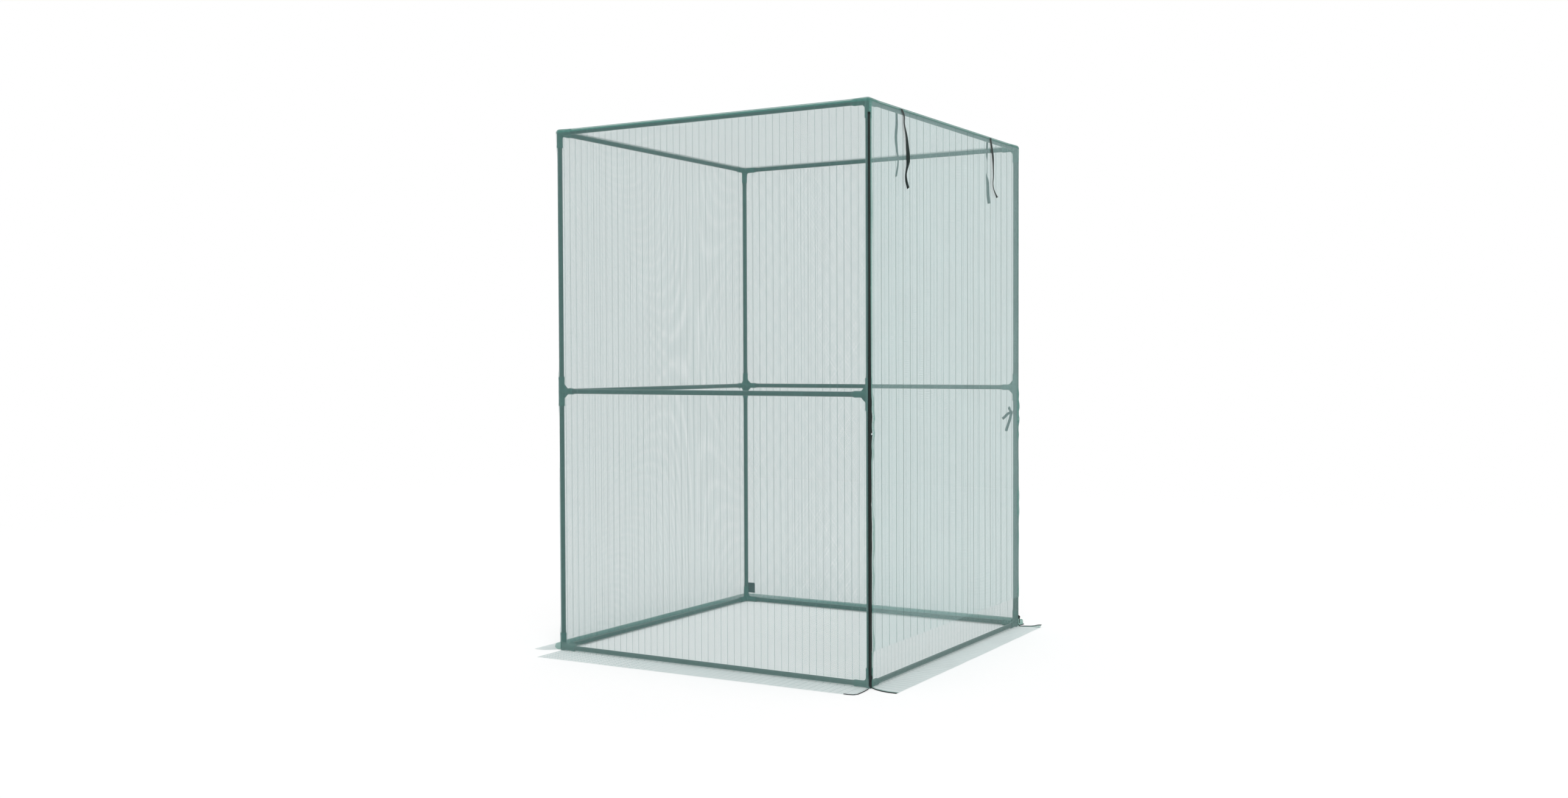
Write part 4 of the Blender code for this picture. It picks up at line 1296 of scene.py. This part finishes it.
FRONT = -POST - COVER_RADIUS
OUTER_LEFT = [(-0.3870, FRONT - 0.0010, 1.7700, 6), (-0.3745, FRONT - 0.0035, 1.7507, -2),
              (-0.3755, FRONT - 0.0045, 1.7259, -4), (-0.3640, FRONT - 0.0060, 1.6915, 10),
              (-0.3590, FRONT - 0.0070, 1.6601, 28), (-0.3540, FRONT - 0.0072, 1.6210, 58),
              (-0.3570, FRONT - 0.0070, 1.5998, 105), (-0.3675, FRONT - 0.0062, 1.5712, 126),
              (-0.3655, FRONT - 0.0066, 1.5496, 116), (-0.3530, FRONT - 0.0070, 1.5282, 110)]
OUTER_RIGHT = [(0.3215, FRONT - 0.0010, 1.7700, 2), (0.3262, FRONT - 0.0035, 1.7421, 10),
               (0.3350, FRONT - 0.0050, 1.7047, 12), (0.3383, FRONT - 0.0050, 1.6730, 0),
               (0.3412, FRONT - 0.0048, 1.6359, -7), (0.3348, FRONT - 0.0050, 1.6157, -9),
               (0.3388, FRONT - 0.0052, 1.5981, -6), (0.3498, FRONT - 0.0060, 1.5821, 0),
               (0.3686, FRONT - 0.0075, 1.5656, 16)]
for side, points in (("left", OUTER_LEFT), ("right", OUTER_RIGHT)):
    bm = bmesh.new()
    length = ribbon(bm, points, 60, tip=0.006)
    bmesh.ops.recalc_face_normals(bm, faces=bm.faces)
    made = make_piece(bm, f"ribbon_outer_{side}", [ribbon_finish],
                      ("cage", "door_1", (0, FRONT, TOP_Z), (0, FRONT, bends[0] - FOLD_ZONE)),
                      "tie", [f"door_tie_outer_{side}"], sharp=50)
    print("outer ribbon", side, round(length, 3))

# %% [markdown]
# The inner ribbons come over the top rail from the seam and hang inside, where they show grey
# through the net.

# %% Inner ribbons
OVER_RAIL = TUBE_RADIUS + 0.0010
INSIDE = -POST + OVER_RAIL


def inner_points(x, drops):
    """Over the rail in an arc, then down through (x, down, turn) points."""
    points = []
    for degrees in (150, 120, 90, 60, 30):
        angle = math.radians(degrees)
        points.append((x, -POST + OVER_RAIL * math.cos(angle), TOP_Z + OVER_RAIL * math.sin(angle), 0))
    return points + [(px, INSIDE + 0.0008 + py, z, turn) for px, py, z, turn in drops]


INNER_LEFT = inner_points(-0.3760, [(-0.3760, 0.0, 1.7560, 8), (-0.3713, 0.0022, 1.7251, 16),
                                    (-0.3745, 0.0034, 1.6866, 20), (-0.3690, 0.0030, 1.6496, 10),
                                    (-0.3640, 0.0022, 1.6276, 0), (-0.3632, 0.0020, 1.6029, -4),
                                    (-0.3763, 0.0026, 1.5636, 4)])
INNER_RIGHT = inner_points(0.3465, [(0.3465, 0.0, 1.7560, 10), (0.3495, 0.0024, 1.7150, 8),
                                    (0.3506, 0.0020, 1.6950, -12), (0.3506, 0.0018, 1.6547, -12),
                                    (0.3460, 0.0020, 1.6433, 0), (0.3595, 0.0036, 1.6190, 36),
                                    (0.3650, 0.0044, 1.5764, 48), (0.3734, 0.0044, 1.5470, 40)])
for side, points in (("left", INNER_LEFT), ("right", INNER_RIGHT)):
    bm = bmesh.new()
    length = ribbon(bm, points, 72, tip=0.003)
    bmesh.ops.recalc_face_normals(bm, faces=bm.faces)
    made = make_piece(bm, f"ribbon_inner_{side}", [ribbon_finish], "cage", "tie",
                      [f"door_tie_inner_{side}"], sharp=50)
    print("inner ribbon", side, round(length, 3))

# %% [markdown]
# The cover is tied to the front right post with a knotted ribbon. Two turns go round the tube, a
# knot sits behind them, and one loop and two tails stick out along the wall.

# %% Cover tie
TIE_WIDTH = 0.0105
TIE_RADIUS = TUBE_RADIUS + 0.0009
TAIL_ROWS = 16
TIE_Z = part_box("cover_tie")[0].z + 0.0697
knot = Vector((POST - 0.0075, -POST + TUBE_RADIUS + 0.0036, TIE_Z))
bm = bmesh.new()


def tie_band(bm, low, tilt):
    """One slanting turn of ribbon round the post."""
    def place(w, s):
        angle = s / TIE_RADIUS
        return Vector((POST + TIE_RADIUS * math.cos(angle), -POST + TIE_RADIUS * math.sin(angle),
                       low + w + tilt * math.sin(angle)))

    length = 2 * math.pi * TIE_RADIUS
    faces = cloth(bm, marks((-TIE_WIDTH / 2, TIE_WIDTH / 2, TIE_WIDTH / 4)),
                  marks((0.0, length, length / 40)), place)
    thicken(bm, faces, RIBBON_THICKNESS)
    return length


def tie_tail(bm, points, width):
    """A flat tail in the wall's plane, its width turned within that plane."""
    line = smooth_line(points, TAIL_ROWS)
    lengths = lengths_along(line)

    def place(w, d):
        k = min(range(len(lengths)), key=lambda i: abs(lengths[i] - d))
        here = Vector(line[k][:3])
        before, after = Vector(line[max(0, k - 1)][:3]), Vector(line[min(TAIL_ROWS, k + 1)][:3])
        run = (after - before).normalized()
        twist = math.radians(line[k][3])
        flat = run.cross(Vector((1, 0, 0))).normalized()
        across = flat * math.cos(twist) + Vector((1, 0, 0)) * math.sin(twist)
        return here + across * w

    faces = cloth(bm, marks((-width / 2, width / 2, width / 4)), lengths, place)
    thicken(bm, faces, RIBBON_THICKNESS)
    return lengths[-1]


length = tie_band(bm, TIE_Z - 0.0015, 0.0020) + tie_band(bm, TIE_Z + 0.0015, -0.0016)
for points, width in (
        (((0, 0, 0, 10), (-0.0010, 0.0060, 0.0070, 25), (-0.0012, 0.0090, 0.0150, 20),
          (-0.0008, 0.0085, 0.0175, 60), (0.0004, 0.0050, 0.0110, 150)), TIE_WIDTH),
        (((0, 0, 0, 10), (-0.0014, 0.0140, -0.0060, 20), (-0.0020, 0.0240, -0.0160, 28),
          (-0.0022, 0.0350, -0.0250, 15)), TIE_WIDTH * 0.9),
        (((0, 0, 0, 10), (-0.0012, 0.0060, -0.0260, 18), (-0.0020, 0.0120, -0.0440, 30),
          (-0.0024, 0.0210, -0.0700, 12)), TIE_WIDTH * 0.9)):
    length += tie_tail(bm, [(knot.x + x, knot.y + y, knot.z + z, t) for x, y, z, t in points],
                       width)
before = set(bm.verts)
bmesh.ops.create_uvsphere(bm, u_segments=16, v_segments=10, radius=1.0)
ball = [v for v in bm.verts if v not in before]
knot_shape = Matrix.Translation(knot) @ Matrix.Diagonal((0.0030, 0.0042, 0.0056, 1))
bmesh.ops.transform(bm, matrix=knot_shape, verts=ball)
bmesh.ops.recalc_face_normals(bm, faces=bm.faces)
tie = make_piece(bm, "ribbon_cover_tie", [ribbon_finish], "cage", "tie", ["cover_tie"], sharp=50)
print("cover tie", round(length, 3))

# %% [markdown]
# ## Tag
# A small dark tag is sewn in beside the rear right post. It is bare and slightly curled, with a
# row of stitches near one edge.

# %% Tag
TAG_WIDTH, TAG_HEIGHT = 0.034, 0.040
TAG_TO_POST = 0.009
TAG_CURL = 0.0030
tag_low, tag_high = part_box("blank_tag")
bm = bmesh.new()


def on_tag(w, h):
    from_edge = w + TAG_WIDTH / 2
    share = from_edge / TAG_WIDTH
    return Vector((tag_high.x - TAG_CURL * share ** 2, tag_high.y + TAG_TO_POST - from_edge,
                   tag_low.z + h + 0.0012 * share * math.sin(h * 70)))


faces = cloth(bm, marks((-TAG_WIDTH / 2, TAG_WIDTH / 2, TAG_WIDTH / 10)),
              marks((0.0, tag_high.z - tag_low.z, 0.005)), on_tag)
thicken(bm, faces, 0.0005)
bmesh.ops.recalc_face_normals(bm, faces=bm.faces)
tag = make_piece(bm, "tag_blank", [tag_finish], "cage", "tag", ["blank_tag"], sharp=50)
print("tag made")
